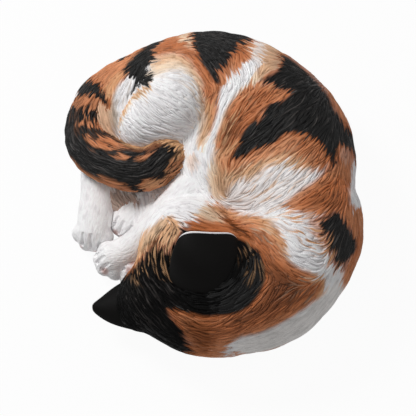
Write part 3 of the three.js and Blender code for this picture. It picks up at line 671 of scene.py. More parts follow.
COAT_COMB = [  # across, up, and the angle that the fur lies at there, in degrees
    (6, 136, 143), (45, 133, 150), (77, 124, 148), (-23, 136, 160), (-11, 116, 131), (6, 114, 120),
    (31, 116, 95), (56, 111, 45), (85, 100, 45), (102, 80, 60), (114, 56, 80), (14, 90, 60),
    (5, 75, 82), (31, 80, 45), (65, 77, 45), (89, 65, 45), (-2, 56, 62), (16, 56, 62), (42, 49, 40),
    (69, 49, 43), (95, 40, 47), (123, 15, 80), (-2, 36, 110), (6, 17, 105), (25, 19, 50),
    (52, 22, 42), (79, 15, 44), (103, 6, 46), (114, -6, 60), (4, 1, 134), (26, 1, 10), (52, 0, 20),
    (77, -3, 15), (97, -4, 35), (122, -16, 100), (39, -16, 145), (62, -18, 142), (85, -24, 150),
    (107, -25, 50), (114, -37, 62), (56, -31, 136), (77, -37, 153), (93, -43, 10), (108, -48, 78),
    (39, -35, 110), (57, -48, 130), (77, -53, 150), (93, -70, 45), (31, -53, 75), (45, -70, 60),
    (67, -79, 40), (35, -91, 35), (62, -95, 30), (23, -69, 40), (6, -76, 5), (-11, -74, 165),
    (-25, -65, 140), (-30, -48, 105), (-34, -31, 75), (-45, -77, 135), (-50, -56, 133),
    (-59, -45, 128), (-49, -26, 60), (-40, -15, 51), (-28, -5, 140), (-15, 0, 148), (-2, -12, 175),
    (16, -14, 170), (-6, -112, 150), (16, -116, 15), (-32, -103, 140), (-50, -93, 135),
    (-15, -91, 150), (6, -95, 20), (-69, 124, 25), (-86, 116, 50), (-73, 94, 75), (-82, 69, 100),
    (-57, 124, 60), (-40, 124, 165), (-49, 107, 110), (-69, 11, 120), (-73, 56, 130),
    (-19, 36, 120),
]
THIGH_COMB = [
    (-36, 119, 170), (-19, 117, 160), (-40, 104, 154), (-23, 103, 152), (-6, 99, 128),
    (-60, 91, 146), (-44, 89, 137), (-27, 90, 143), (-9, 85, 128), (-66, 75, 140), (-49, 75, 143),
    (-28, 75, 156), (-8, 72, 135), (-63, 60, 138), (-45, 60, 160), (-25, 60, 153), (-10, 56, 140),
    (-49, 51, 170),
]
TOE_TINT = (3.2, 0.7)  # mm round a spot, and its strength
PINK_TOES = {
    "right_hind_foot": [(-108, -34), (-94, -39)],
    "left_hind_foot": [(-78, -21), (-72, -26)],
    "right_foreleg": [(-86, -53)],
    "left_forepaw": [(-64, -45), (-66, -52)],
}
TILT = math.radians(72)
VIEW_UP = np.array((0.0, math.sin(TILT), math.cos(TILT)))
VIEW_TOWARD = np.array((0.0, -math.cos(TILT), math.sin(TILT)))
VIEW_AIM = np.array((-3.1, 0.0, 55.0)) - 17.8 * VIEW_UP
VIEW_DISTANCE = 1303.0
WIDEST, WIDEST_RISE = 46, 0.041  # height of the statue's widest line, and its rise for each mm back
RUN_ON = 1.6  # how fast the mirrored coat runs on below the widest line
SEAM, SEAM_STRENGTH = 3.2, 0.85  # mm of rust that lies round the black
SEAM_FULL = 0.4  # of the seam's width, from where it is at full strength
SPOT_RIM, SPOT_CORE = 1.4, 0.3  # radii at which a spot's tint ends and is full
SEAMED = ("black", "deep_black")
STRAND_ENDS = (0.3, 1.5)  # where a strewn strand starts and is full


def shift_to_frame():
    """How far the statue's own millimetres lie from the frame's, read from the base plate."""
    low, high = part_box("base_plate")
    middle = (low + high) / 2 / MM
    return np.array((middle.x - PLATE_PLACE[0], middle.y - PLATE_PLACE[1], 0.0))


SHIFT = shift_to_frame()


def seen_places(points, away=None):
    """Where points show in the plane that the camera faces. What faces away from it, or else
    lies below the widest line, takes the place of what is above, so that the coat runs on."""
    widest = WIDEST + WIDEST_RISE * points[:, 1]
    if away is None:
        away = points[:, 2] < widest
    place = points + SHIFT - VIEW_AIM
    place[:, 2] += np.where(away, np.maximum(widest - points[:, 2], 0) * RUN_ON, 0)
    nearer = VIEW_DISTANCE / (VIEW_DISTANCE - place @ VIEW_TOWARD)
    return np.column_stack((place[:, 0] * nearer, place @ VIEW_UP * nearer))


def inset(places, outline):
    """How far places lie inside an outline; below zero outside it."""
    corners = np.array(outline, float)
    nearest = np.full(len(places), 1e9)
    inside = np.zeros(len(places), bool)
    for a, b in zip(corners, np.roll(corners, -1, 0)):
        side, off = b - a, places - a
        share = np.clip(off @ side / (side @ side), 0, 1)
        gap = off - share[:, None] * side
        nearest = np.minimum(nearest, (gap * gap).sum(1))
        level = (a[1] > places[:, 1]) != (b[1] > places[:, 1])
        rise = side[1] if abs(side[1]) > 1e-9 else 1e-9
        inside ^= level & (off[:, 0] < side[0] * off[:, 1] / rise)
    return np.sqrt(nearest) * np.where(inside, 1, -1)


def ramp(values, start, end):
    """Rises smoothly from nought at the start to one at the end."""
    share = np.clip((values - start) / (end - start), 0, 1)
    return share * share * (3 - 2 * share)


def blend(colour, other, share):
    """Colours with a share of another mixed in."""
    return colour + (np.asarray(other) - colour) * np.clip(share, 0, 1)[:, None]


def layered(base, *tables, flecks=()):
    """A coat: the base colour with the layers of the tables painted over it in their order, and
    then strands of other colours. A brown seam lies round most of the black."""
    layers = [layer for table in tables for layer in table]
    strewn = [layer for table in flecks for layer in table]

    def coat_at(places, strand, coat):
        colour = np.tile(coat[base], (len(places), 1))
        for layer in layers + strewn:
            _, name, strength, softness, outline = layer
            seam = SEAM if name in SEAMED and layer in layers else 0
            low, high = np.min(outline, 0) - softness - seam, np.max(outline, 0) + softness + seam
            near = np.flatnonzero(((places > low) & (places < high)).all(1))
            if len(near) == 0:
                continue
            within = inset(places[near], outline)
            if seam:
                share = SEAM_STRENGTH * ramp(within, -seam, -SEAM_FULL * seam)
                colour[near] = blend(colour[near], coat["rust"], share)
            share = strength * ramp(within, -softness, softness)
            if layer in strewn:
                share = share * ramp(strand[near], *STRAND_ENDS)
            colour[near] = blend(colour[near], coat[name], share)
        return colour
    return coat_at


body_coat = layered("white", COAT_LAYERS, flecks=[COAT_FLECKS])
thigh_coat = layered("white", COAT_LAYERS, THIGH_LAYERS, flecks=[THIGH_FLECKS])
tail_coat = layered("black", TAIL_LAYERS, flecks=[TAIL_FLECKS])
white_coat = layered("white")


def ripple(points, length, seed):
    """Smooth seeded noise between -1 and 1 whose swells are about the given length."""
    random = np.random.default_rng(seed)
    total = np.zeros(len(points))
    for _ in range(WAVES):
        wave = random.normal(size=points.shape[1])
        wave *= 2 * math.pi / (length * random.uniform(0.8, 1.7)) / np.linalg.norm(wave)
        total += np.sin(points @ wave + random.uniform(0, 2 * math.pi))
    return total / 4


def grain(seed):
    """Seeded noise with a smooth bump or hollow for about every unit of length."""
    random = np.random.default_rng(seed)
    order = random.permutation(4096)
    heights = random.normal(size=4096)

    def noise(places):
        corner = np.floor(places)
        share = places - corner
        share = share * share * (3 - 2 * share)
        corner = corner.astype(np.int64)
        total = np.zeros(len(places))
        for i in (0, 1):
            along_x = share[:, 0] if i else 1 - share[:, 0]
            at_x = order[(corner[:, 0] + i) & 4095]
            for j in (0, 1):
                along_y = along_x * (share[:, 1] if j else 1 - share[:, 1])
                at_y = order[(at_x + corner[:, 1] + j) & 4095]
                for k in (0, 1):
                    value = heights[order[(at_y + corner[:, 2] + k) & 4095]]
                    total += value * along_y * (share[:, 2] if k else 1 - share[:, 2])
        return total
    return noise


def near_spots(places, spots):
    """How near places lie to round spots, each with its radius and strength."""
    share = np.zeros(len(places))
    for across, up, radius, amount in spots:
        gap = np.hypot(places[:, 0] - across, places[:, 1] - up)
        share = np.maximum(share, amount * ramp(-gap, -radius * SPOT_RIM, -radius * SPOT_CORE))
    return share


# carved fur

SMALL_LOT = 20000
WAVES = 7  # in a ripple
COMB_REACH = 10.0  # mm round a stroke that its direction holds
LINE_REACH = 60  # mm squared over which a limb's stations share in a direction
CHANNELS = (1.0, 0.6, 2.2, 0.75, 0.75)  # widths of ridges, fine ridges, tone, slip and strands
STRIDES = 7  # each way along a strand
TURN_LENGTH = 5  # mm over which a strand's turn is measured
SWAY, SWAY_LENGTH = 0.24, 13  # how far strands sway, in radians, and over how many mm
RIDGE_SHARE, FINE_SHARE, SHARPNESS = 0.7, 0.3, 1.7  # of ridges and fine ridges in the depth
PAINTED_LEVEL = 0.6  # depth that stays where the form's surface is
RUB_AND_GLINT = (0.9, 2.2)  # where a fine ridge starts to be lightened and is lightened fully: partly drybrushed grey and partly a painted highlight
FURROW_FLOOR, FLOOR_RISE = 0.34, 0.46  # share of the paint left in a furrow, darkened partly as a wash of paint and partly as painted shade, and its rise for pale paint
CREST, CREST_RISE = 1.1, 0.04  # the same on a ridge, lightened partly as drybrush and partly as a painted highlight
FURROW, RIDGE = 0.05, 0.8  # depths that count as a furrow and as a ridge
PALE = 0.7  # paint this light counts as white
DARK = 0.12  # paint this light no longer counts as dark
DEEP_BLACK = (0.0014, 0.0024)  # from black paint whose ridges are not lightened to black whose ridges are (drybrushed grey and painted highlight)
# how strongly the dark ridges are lightened: partly drybrushed grey and partly a painted highlight
RUB_AND_GLINT_STRENGTH = 0.55
TONE, MOST_TONE = 0.05, 3  # how much lighter or darker a strand is, and the most times that
MIDDLE_DEPTH = 0.75  # from which the furrows' shade is made weaker or stronger


def combed(strokes):
    """Directions of fur that follow strokes drawn in the plane of the view."""
    strokes = np.array(strokes, float)
    double = np.radians(2 * strokes[:, 2])

    def direction(points):
        gap = seen_places(points)[:, None] - strokes[None, :, :2]
        weight = np.exp(-(gap * gap).sum(2) / (2 * COMB_REACH ** 2))
        weight = weight + 1e-9 / (1 + (gap * gap).sum(2))
        angle = np.arctan2(weight @ np.sin(double), weight @ np.cos(double)) / 2
        return np.cos(angle)[:, None] * (1, 0, 0) + np.sin(angle)[:, None] * VIEW_UP
    return lambda points: in_lots(direction, points, SMALL_LOT)


def along(stations):
    """Directions of fur that run along a limb, spreading a little from its line."""
    line = np.array(smooth_line(stations, 40))[:, :3]
    ahead = unit(np.gradient(line, axis=0))

    def direction(points):
        gap = ((points[:, None] - line[None]) ** 2).sum(2)
        weight = np.exp(-(gap - gap.min(1)[:, None]) / LINE_REACH)
        return unit(weight @ ahead)
    return lambda points: in_lots(direction, points, SMALL_LOT)


def streaks(points, outward, direction, sizes, seed):
    """Noise drawn out along the fur: ridges, fine ridges, tone, slip and strands for each point,
    each with a mean of nought and a spread of one. Gives the fur's direction as well."""
    stride = sizes["length"] / 2 / STRIDES
    noises = [(grain(seed + n), sizes["width"] * scale) for n, scale in enumerate(CHANNELS)]

    def drawn_out(part):
        place, normal = part[:, :3], part[:, 3:]
        ahead = direction(place)
        ahead = unit(ahead - (ahead * normal).sum(1)[:, None] * normal)
        further = direction(place + TURN_LENGTH * ahead)
        further *= np.sign((further * ahead).sum(1))[:, None]
        turn = (further - ahead) / TURN_LENGTH
        values = [noise(place / size) for noise, size in noises]
        for way in (-1, 1):
            walker = place
            for step in range(1, STRIDES + 1):
                heading = ahead + turn * (way * stride * (step - 0.5))
                heading = unit(heading - (heading * normal).sum(1)[:, None] * normal)
                sway = SWAY * ripple(walker, SWAY_LENGTH, seed + 8)
                heading = (heading * np.cos(sway)[:, None]
                           + np.cross(normal, heading) * np.sin(sway)[:, None])
                walker = walker + way * stride * heading
                weight = math.cos(math.pi / 2 * step / (STRIDES + 1)) ** 2
                for n, (noise, size) in enumerate(noises):
                    values[n] = values[n] + weight * noise(walker / size)
        return np.column_stack((*values, ahead))

    found = in_lots(drawn_out, np.column_stack((points, outward)), SMALL_LOT)
    values = found[:, :len(CHANNELS)]
    return values / values.std(0), found[:, len(CHANNELS):]


def carve(points, outward, direction, paint, sizes, seed, shyness=None):
    """Carves fur into a skin. Gives the moved points, their colours, how high each lies in its
    furrow, and how much its dark ridges are lightened, partly as drybrushed grey and partly as a
    painted highlight."""
    values, ahead = streaks(points, outward, direction, sizes, seed)
    ridge, fine, tone, slip, strand = values.T
    depth = (RIDGE_SHARE * (1 - np.exp(-SHARPNESS * np.abs(ridge)))
             + FINE_SHARE * (1 - np.exp(-SHARPNESS * np.abs(fine))))
    amount = np.ones(len(points)) if shyness is None else 1 - shyness(points)
    away = outward @ VIEW_TOWARD < 0
    slipped = points + ahead * (sizes["slip"] * slip)[:, None]
    colour = in_lots(paint, np.column_stack((slipped, away, strand)))
    colour *= (1 + TONE * np.clip(tone + fine, -MOST_TONE, MOST_TONE))[:, None]
    moved = points + outward * (sizes["height"] * (depth - PAINTED_LEVEL) * amount)[:, None]
    depth = MIDDLE_DEPTH + (depth - MIDDLE_DEPTH) * amount * sizes["furrow"]
    return moved, colour, depth, ramp(fine, *RUB_AND_GLINT) * amount


def shaded(colour, depth, rub_and_glint, coat):
    """Darkens the furrows and lightens the ridges, partly as a wash and drybrush of paint and
    partly as painted shade and painted highlight; ridges of the dark fur get light grey, partly
    drybrushed and partly a painted highlight.
    """
    painted = colour.mean(1)
    light = np.clip(painted / PALE, 0, 1)
    floor = FURROW_FLOOR + FLOOR_RISE * light
    crest = CREST + CREST_RISE * light
    colour = colour * (floor + (crest - floor) * ramp(depth, FURROW, RIDGE))[:, None]
    dark = (1 - np.clip(colour.mean(1) / DARK, 0, 1)) * ramp(painted, *DEEP_BLACK)
    return blend(colour, coat["rub_and_glint_black"], RUB_AND_GLINT_STRENGTH * rub_and_glint * dark)


# ears

RIGHT_EAR_ROWS = [
    [(-30, -64, 107), (-26, -57, 112.5), (-17, -55, 114.5), (-5, -56, 113.5), (7, -55, 109.5),
     (16, -53, 104), (21, -57, 98.5)],
    [(-33, -71, 105.5), (-27, -67, 112), (-17, -66, 115), (-5, -66, 114.5), (7, -65, 111),
     (17, -63, 105), (23, -65, 97.5)],
    [(-35, -77, 101), (-27, -77, 110), (-17, -77, 113.5), (-5, -77, 113.5), (7, -76, 110.5),
     (18, -74, 103), (25, -74, 95)],
    [(-36, -86, 93), (-27, -88, 104), (-16, -89, 108.5), (-5, -89, 109), (7, -87, 106),
     (18, -84, 98), (25, -82, 90)],
    [(-35, -95, 82), (-26, -98, 92), (-15, -101, 95), (-5, -102, 95.5), (6, -100, 94),
     (17, -94, 88), (24, -88, 80)],
    [(-32, -100, 72), (-23, -104, 80), (-13, -106, 82), (-5, -106, 82), (6, -104, 80),
     (15, -99, 76), (21, -93, 70)],
]
LEFT_EAR_ROWS = [
    [(-100, -100, 28), (-101, -98, 29), (-101, -96, 29.5), (-101, -94, 29.5), (-99, -92, 29)],
    [(-95, -105, 28), (-96, -101, 31.5), (-96, -97, 32.5), (-96, -93, 32), (-94, -88, 29.5)],
    [(-86, -111, 28), (-87, -105, 34), (-87, -98, 36), (-86, -88, 35), (-83, -78, 31)],
    [(-74, -115, 28), (-76, -107, 36), (-76, -97, 39), (-75, -84, 38), (-70, -71, 33)],
    [(-61, -118, 28), (-63, -108, 38), (-63, -95, 42), (-60, -81, 41), (-59, -67, 35)],
    [(-53, -120, 26), (-54, -108, 36), (-54, -95, 42), (-53, -81, 40), (-51, -63, 34)],
]
EAR_THICKNESS = 3.4
RIM_WIDTH, RIM_FADE = 0.12, 5  # the pale rim, partly pale hair and partly a painted highlight where the edge catches the light, in rows of points, and its fading end in mm
RIM_ENDS = {"right_ear": -66, "left_ear": -125}  # how far to the front the rims reach
RIM_INSIDE = (2.7, 2.2)  # where the rim ends towards the inner face


def ear_sheet(rows, thickness):
    """A curved closed sheet from rows of points on its outer face. Gives the points, the
    faces, and how many of the points are on the outer face."""
    rows = np.array(rows, float)
    tall, wide = rows.shape[:2]
    outward = np.cross(np.gradient(rows, axis=0), np.gradient(rows, axis=1)).reshape(-1, 3)
    outer = rows.reshape(-1, 3)
    points = np.vstack((outer, outer - unit(outward) * thickness))
    number = np.arange(tall * wide).reshape(tall, wide)
    shift = tall * wide
    faces = []
    for i in range(tall - 1):
        for j in range(wide - 1):
            face = [number[i, j], number[i + 1, j], number[i + 1, j + 1], number[i, j + 1]]
            faces += [face, [corner + shift for corner in reversed(face)]]
    border = [*number[0, :-1], *number[:-1, -1], *number[-1, :0:-1], *number[:0:-1, 0]]
    for a, b in zip(border, border[1:] + border[:1]):
        faces.append([a, b, b + shift, a + shift])
    return points, np.array(faces), shift


# materials


def linear(colour):
    """A colour of the panel as the light that it stands for."""
    return tuple(c / 12.92 if c <= 0.04045 else ((c + 0.055) / 1.055) ** 2.4 for c in colour[:3])


def link(tree, source, target):
    """Joins one socket to another."""
    tree.links.new(source, target)


def node(tree, kind, values=(), **settings):
    """A new node with values set on its sockets."""
    made = tree.nodes.new(kind)
    for name, value in settings.items():
        setattr(made, name, value)
    for name, value in values:
        made.inputs[name].default_value = value
    return made


def empty_material(name):
    """A new material with nothing but its output. Gives the material, its tree and the output."""
    material = bpy.data.materials.new(name)
    material.use_nodes = True
    tree = material.node_tree
    tree.nodes.clear()
    return material, tree, node(tree, "ShaderNodeOutputMaterial")


def noise_texture(tree, place, scale, detail, roughness):
    """A noise texture. Gives the socket of its value."""
    texture = node(tree, "ShaderNodeTexNoise",
                   [("Scale", scale), ("Detail", detail), ("Roughness", roughness)])
    link(tree, place, texture.inputs["Vector"])
    return texture.outputs["Fac"]


def spread(tree, source, low, high, start=0.0, end=1.0):
    """A texture's value spread over a range. Gives the socket."""
    made = node(tree, "ShaderNodeMapRange", [("From Min", start), ("From Max", end),
                                             ("To Min", low), ("To Max", high)])
    link(tree, source, made.inputs["Value"])
    return made.outputs["Result"]


def raised(tree, source, shader, strength, depth):
    """Lets a texture's value show as a fine bump."""
    bump = node(tree, "ShaderNodeBump", [("Strength", strength), ("Distance", depth)])
    link(tree, source, bump.inputs["Height"])
    link(tree, bump.outputs["Normal"], shader.inputs["Normal"])


def painted_resin(name, shine, roughness=(0.38, 0.55), bump=0.35):
    """Matt painted resin: the painted coat, brush mottle, fine grain and a soft uneven shine."""
    material, tree, output = empty_material(name)
    shader = node(tree, "ShaderNodeBsdfPrincipled", [("Specular IOR Level", shine)])
    paint = node(tree, "ShaderNodeAttribute", attribute_name="coat")
    place = node(tree, "ShaderNodeTexCoord").outputs["Object"]
    mottle = noise_texture(tree, place, scale=160.0, detail=4.0, roughness=0.6)
    fine = noise_texture(tree, place, scale=1400.0, detail=3.0, roughness=0.55)
    toned = node(tree, "ShaderNodeVectorMath", operation="SCALE")
    link(tree, paint.outputs["Color"], toned.inputs[0])
    link(tree, spread(tree, mottle, 0.93, 1.05, 0.3, 0.7), toned.inputs["Scale"])
    link(tree, toned.outputs["Vector"], shader.inputs["Base Color"])
    link(tree, spread(tree, fine, *roughness, 0.3, 0.7), shader.inputs["Roughness"])
    raised(tree, fine, shader, bump, 0.0002)
    link(tree, shader.outputs["BSDF"], output.inputs["Surface"])
    return material


def plain_surface(name, colour, roughness, scale, depth, speckle):
    """A CAD piece's finish: one colour broken by speckle, with a matching bump."""
    material, tree, output = empty_material(name)
    shader = node(tree, "ShaderNodeBsdfPrincipled", [("Specular IOR Level", 0.3)])
    place = node(tree, "ShaderNodeTexCoord").outputs["Object"]
    texture = noise_texture(tree, place, scale, detail=6.0, roughness=0.65)
    tint = node(tree, "ShaderNodeValToRGB")
    low, high = tint.color_ramp.elements
    low.position, high.position = 0.3, 0.75
    low.color = (*(c * (1 - speckle) for c in colour), 1)
    high.color = (*(min(c * (1 + speckle), 1) for c in colour), 1)
    link(tree, texture, tint.inputs["Fac"])
    link(tree, tint.outputs["Color"], shader.inputs["Base Color"])
    link(tree, spread(tree, texture, roughness - 0.1, roughness + 0.05),
         shader.inputs["Roughness"])
    raised(tree, texture, shader, 0.5, depth)
    link(tree, shader.outputs["BSDF"], output.inputs["Surface"])
    return material


# pieces

FUR_CELL, FOOT_CELL = 1.6, 1.5  # mm between the points of a skin before it is divided
DIVISIONS, EAR_DIVISIONS = 2, 4
UNDERSIDE = 1.2  # mm over the ground that still count as the flat underside
FACES_DOWN = -0.8
FUR_FINISH = ("painted_fur", 0.15)  # the material's name and its shine
HEAD_FINISH = ("matt_fur", 0.045)
EAR_FINISH = ("smooth_ear", 0.06, (0.5, 0.62), 0.3)  # with its roughness and bump
FEET_FUR = {"length": 8.0, "width": 1.1, "height": 0.6, "furrow": 0.3}
TAIL_FUR = {"length": 18.0}
NECK_SMOOTHNESS, NECK_EDGE = 0.6, 3


def add_piece(name, points, faces, colours, material, node_name):
    """Puts a painted mesh in the place of a node of the frame."""
    mesh = mesh_from(name, (points + SHIFT) * MM, faces)
    coat = mesh.color_attributes.new("coat", "FLOAT_COLOR", "POINT")
    rgba = np.column_stack((np.clip(colours, 0, 1), np.ones(len(colours))))
    coat.data.foreach_set("color", rgba.astype(np.float32).ravel())
    mesh.shade_smooth()
    mesh.materials.append(material)
    piece = placed(name, mesh)
    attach(piece, "root")
    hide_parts(node_name)
    return piece


def sculpt(context, name, form, box, cell, direction, paint, node_name, seed, fur=None,
           shyness=None, touch_up=None, finish=FUR_FINISH):
    """Makes one carved and painted casting from its form. The box is where its skin is looked
    for, fur holds sizes of its own, and shyness is how weakly the fur is carved at a point."""
    coat = context.scene.cat_statue_coat.linear_values()
    sizes = context.scene.cat_statue_fur.in_mm()
    sizes.update(fur or {})
    points, faces = skin_of(form, *box, cell)
    points, _ = drawn_on(form, points)
    points, faces = refined(points, faces, DIVISIONS)
    points, outward = drawn_on(form, points)

    def painted(columns):
        places = seen_places(columns[:, :3], columns[:, 3] > 0)
        return paint(places, columns[:, 4], coat)

    moved, colour, depth, rub_and_glint = carve(points, outward, direction, painted, sizes, seed, shyness)
    # painted shade in the furrows and painted highlight on the ridges, along with the wash and
    # drybrush of paint
    colour = shaded(colour, depth, rub_and_glint, coat)
    underside = (points[:, 2] < GROUND + UNDERSIDE) & (outward[:, 2] < FACES_DOWN)
    moved[underside] = points[underside]
    moved[:, 2] = np.maximum(moved[:, 2], GROUND)
    colour[underside] = coat["resin"]
    if touch_up:
        colour = touch_up(points, outward, colour, coat)
    material = bpy.data.materials.get(finish[0]) or painted_resin(*finish)
    return add_piece(name, moved, faces, colour, material, node_name)


def oval(half_width, half_length, sides):
    """Corners of an oval round the origin."""
    angles = np.linspace(0, 2 * math.pi, sides, endpoint=False)
    return np.column_stack((half_width * np.cos(angles), half_length * np.sin(angles)))


def oval_cutter(counts=96, reach=3):
    """The recess that the base plate fits, as a closed oval block that reaches below it."""
    half_width, half_length, depth = PLATE_RECESS
    ring = np.array(PLATE_PLACE) + oval(half_width, half_length, counts)
    cutter = bmesh.new()
    lower = [cutter.verts.new((x, y, GROUND - reach)) for x, y in ring]
    upper = [cutter.verts.new((x, y, GROUND + depth)) for x, y in ring]
    cutter.faces.new(list(reversed(lower)))
    cutter.faces.new(upper)
    for i in range(counts):
        j = (i + 1) % counts
        cutter.faces.new((lower[i], lower[j], upper[j], upper[i]))
    cutter.transform(Matrix.Translation(Vector(SHIFT * MM)) @ Matrix.Scale(MM, 4))
    mesh = bpy.data.meshes.new("recess")
    cutter.to_mesh(mesh)
    cutter.free()
    return placed("recess", mesh)


def cut_recess(piece):
    """Cuts the base plate's recess out of a piece."""
    block = oval_cutter()
    cut = piece.modifiers.new("recess", "BOOLEAN")
    cut.operation, cut.solver, cut.object = "DIFFERENCE", "MANIFOLD", block
    made = bpy.data.meshes.new_from_object(
        piece.evaluated_get(bpy.context.evaluated_depsgraph_get()))
    piece.modifiers.clear()
    old = piece.data
    piece.data = made
    bpy.data.meshes.remove(old)
    bpy.data.objects.remove(block)


def colour_property(name, description, colour):
    """A colour of the panel."""
    return bpy.props.FloatVectorProperty(name=name, description=description, default=colour,
                                         size=3, subtype="COLOR_GAMMA", min=0.0, max=1.0)


def length_property(name, description, length):
    """A length of the panel, in metres."""
    return bpy.props.FloatProperty(name=name, description=description, default=length,
                                   unit="LENGTH", min=0.0001)


class CatStatueCoat(bpy.types.PropertyGroup):
    """Colours that the statue is painted in"""

    white: colour_property("White", "White fur", (0.96, 0.95, 0.955))
    cream: colour_property("Cream", "Where white meets ginger", (0.91, 0.81, 0.70))
    pale_ginger: colour_property("Pale ginger", "Thin ginger", (0.86, 0.67, 0.50))
    ginger: colour_property("Ginger", "Ginger fur", (0.80, 0.53, 0.37))
    rust: colour_property("Rust", "Strong ginger", (0.70, 0.405, 0.235))
    deep_ginger: colour_property("Deep ginger", "Darkest ginger", (0.46, 0.265, 0.155))
    brown_grey: colour_property("Brown grey", "Shaded ginger", (0.66, 0.53, 0.44))
    shade: colour_property("Shade", "Shaded white", (0.72, 0.66, 0.60))
    black: colour_property("Black", "Black fur", (0.035, 0.032, 0.03))
    soft_black: colour_property("Soft black", "Black fur next to white", (0.035, 0.032, 0.03))
    deep_black: colour_property("Deep black", "Black fur round the ears", (0.012, 0.011, 0.01))
    # lightened ridges of the black fur: partly drybrushed grey and partly a painted highlight
    rub_and_glint_black: colour_property("Rubbed black", "Ridges of the black fur", (0.36, 0.34, 0.33))
    # the neck's near-white, a little greyer as painted shade where it turns down and away from the
    # light
    grey: colour_property("Grey", "Soft fur on the neck", (0.90, 0.885, 0.875))
    ear_black: colour_property("Ear black", "Smooth backs of the ears", (0.03, 0.026, 0.024))
    ear_pink: colour_property("Ear pink", "Insides of the ears", (0.76, 0.56, 0.51))
    toe_pink: colour_property("Toe pink", "Toe pads and nose", (0.74, 0.5, 0.44))
    resin: colour_property("Bare resin", "Unpainted underside", (0.78, 0.75, 0.70))
    felt: colour_property("Felt", "Pads under the statue", (0.23, 0.22, 0.21))

    def linear_values(self):
        """The colours by name, as light."""
        return {name: np.array(linear(getattr(self, name)))
                for name in CatStatueCoat.__annotations__}


class CatStatueFur(bpy.types.PropertyGroup):
    """Sizes of the carved fur"""

    length: length_property("Strand length", "Length of a carved strand of fur", 0.018)
    width: length_property("Strand width", "Width of a carved strand of fur", 0.0014)
    height: length_property("Strand height", "How high the ridges of the fur stand", 0.0019)
    furrow: bpy.props.FloatProperty(
        name="Furrow shade", description="How much the furrows darken the paint",
        default=1.0, min=0.0, max=1.5)
    slip: length_property("Slip", "How far the strands carry their paint across its edges", 0.0026)

    def in_mm(self):
        """The sizes by name, in millimetres, and the furrows' shade as it is."""
        sizes = {name: getattr(self, name) / MM for name in CatStatueFur.__annotations__}
        sizes["furrow"] = self.furrow
        return sizes


class CatStatueStage(bpy.types.PropertyGroup):
    """Where the statue is looked at from, and its light"""

    lens: bpy.props.FloatProperty(name="Lens", description="Focal length of the camera",
                                  default=135.0, unit="CAMERA", min=20.0, max=400.0)
    tilt: bpy.props.FloatProperty(name="Tilt", description="How steeply the camera looks down",
                                  default=TILT, subtype="ANGLE")
    frame_width: length_property("Frame width", "Width that the camera sees at the statue", 0.3475)
    key: bpy.props.FloatProperty(
        name="Key lamp", description="Power of the main soft lamp in watts", default=13.5, min=0.0)
    fill: bpy.props.FloatProperty(
        name="Fill lamp", description="Power of the overhead lamp in watts", default=3.0, min=0.0)
    sky: bpy.props.FloatProperty(
        name="Sky", description="Strength of the light from all round", default=0.22, min=0.0)
    floor: colour_property("Floor", "Pale floor under the statue", (0.93, 0.93, 0.93))


SENSOR_WIDTH = 36.0
KEY_LAMP = (0.5, (-0.8, 0.65, 1.15))  # width and place, m
FILL_LAMP = (1.4, (0.25, -0.2, 1.5))
FLOOR_RADIUS, FLOOR_SIDES = 3.0, 48
FLOOR_GLOW = 0.95  # how much of the floor that the camera sees is plain white


class CATSTATUE_OT_stage(bpy.types.Operator):
    """Add the camera, the soft lamps and the pale floor"""

    bl_idname = "cat_statue.stage"
    bl_label = "Stage"

    def execute(self, context):
        stage = context.scene.cat_statue_stage
        scene = context.scene
        scene.view_settings.view_transform = "Standard"
        lens = bpy.data.cameras.new("camera")
        lens.lens, lens.sensor_width = stage.lens, SENSOR_WIDTH
        lens.clip_start, lens.clip_end = 0.05, 20.0
        camera = placed("camera", lens)
        toward = Vector((0, -math.cos(stage.tilt), math.sin(stage.tilt)))
        aim = Vector(VIEW_AIM * MM)
        camera.location = aim + toward * stage.frame_width * stage.lens / SENSOR_WIDTH
        camera.rotation_euler = (math.pi / 2 - stage.tilt, 0, 0)
        scene.camera = camera
        self.light("key_lamp", stage.key, *KEY_LAMP, aim)
        self.light("fill_lamp", stage.fill, *FILL_LAMP, aim)
        self.sky(scene, stage.sky)
        self.floor(stage.floor)
        return {"FINISHED"}

    def light(self, name, power, size, place, aim):
        """A round soft lamp that faces the statue."""
        lamp = bpy.data.lights.new(name, "AREA")
        lamp.energy, lamp.size, lamp.shape = power, size, "DISK"
        holder = placed(name, lamp)
        holder.location = place
        holder.rotation_euler = (aim - Vector(place)).to_track_quat("-Z", "Y").to_euler()

    def sky(self, scene, strength):
        """Soft light from all round, and plain white where it is looked at."""
        world = bpy.data.worlds.new("soft_sky")
        scene.world = world
        world.use_nodes = True
        tree = world.node_tree
        tree.nodes.clear()
        output = node(tree, "ShaderNodeOutputWorld")
        light = node(tree, "ShaderNodeBackground",
                     [("Color", (1, 1, 1, 1)), ("Strength", strength)])
        shown = node(tree, "ShaderNodeBackground", [("Color", (1, 1, 1, 1)), ("Strength", 1.0)])
        mixed(tree, plain_sight(tree), light, shown, output)

    def floor(self, colour):
        """A pale round floor that catches the statue's shadow."""
        corners = np.pad(oval(FLOOR_RADIUS, FLOOR_RADIUS, FLOOR_SIDES), ((0, 0), (0, 1)))
        floor = placed("floor", mesh_from("floor", corners, [[*range(FLOOR_SIDES)]]))
        material, tree, output = empty_material("pale_floor")
        paint = node(tree, "ShaderNodeBsdfDiffuse", [("Color", (*linear(colour), 1))])
        glow = node(tree, "ShaderNodeEmission", [("Color", (1, 1, 1, 1)), ("Strength", 1.0)])
        share = node(tree, "ShaderNodeMath", operation="MULTIPLY")
        share.inputs[1].default_value = FLOOR_GLOW
        link(tree, plain_sight(tree), share.inputs[0])
        mixed(tree, share.outputs["Value"], paint, glow, output)
        floor.data.materials.append(material)


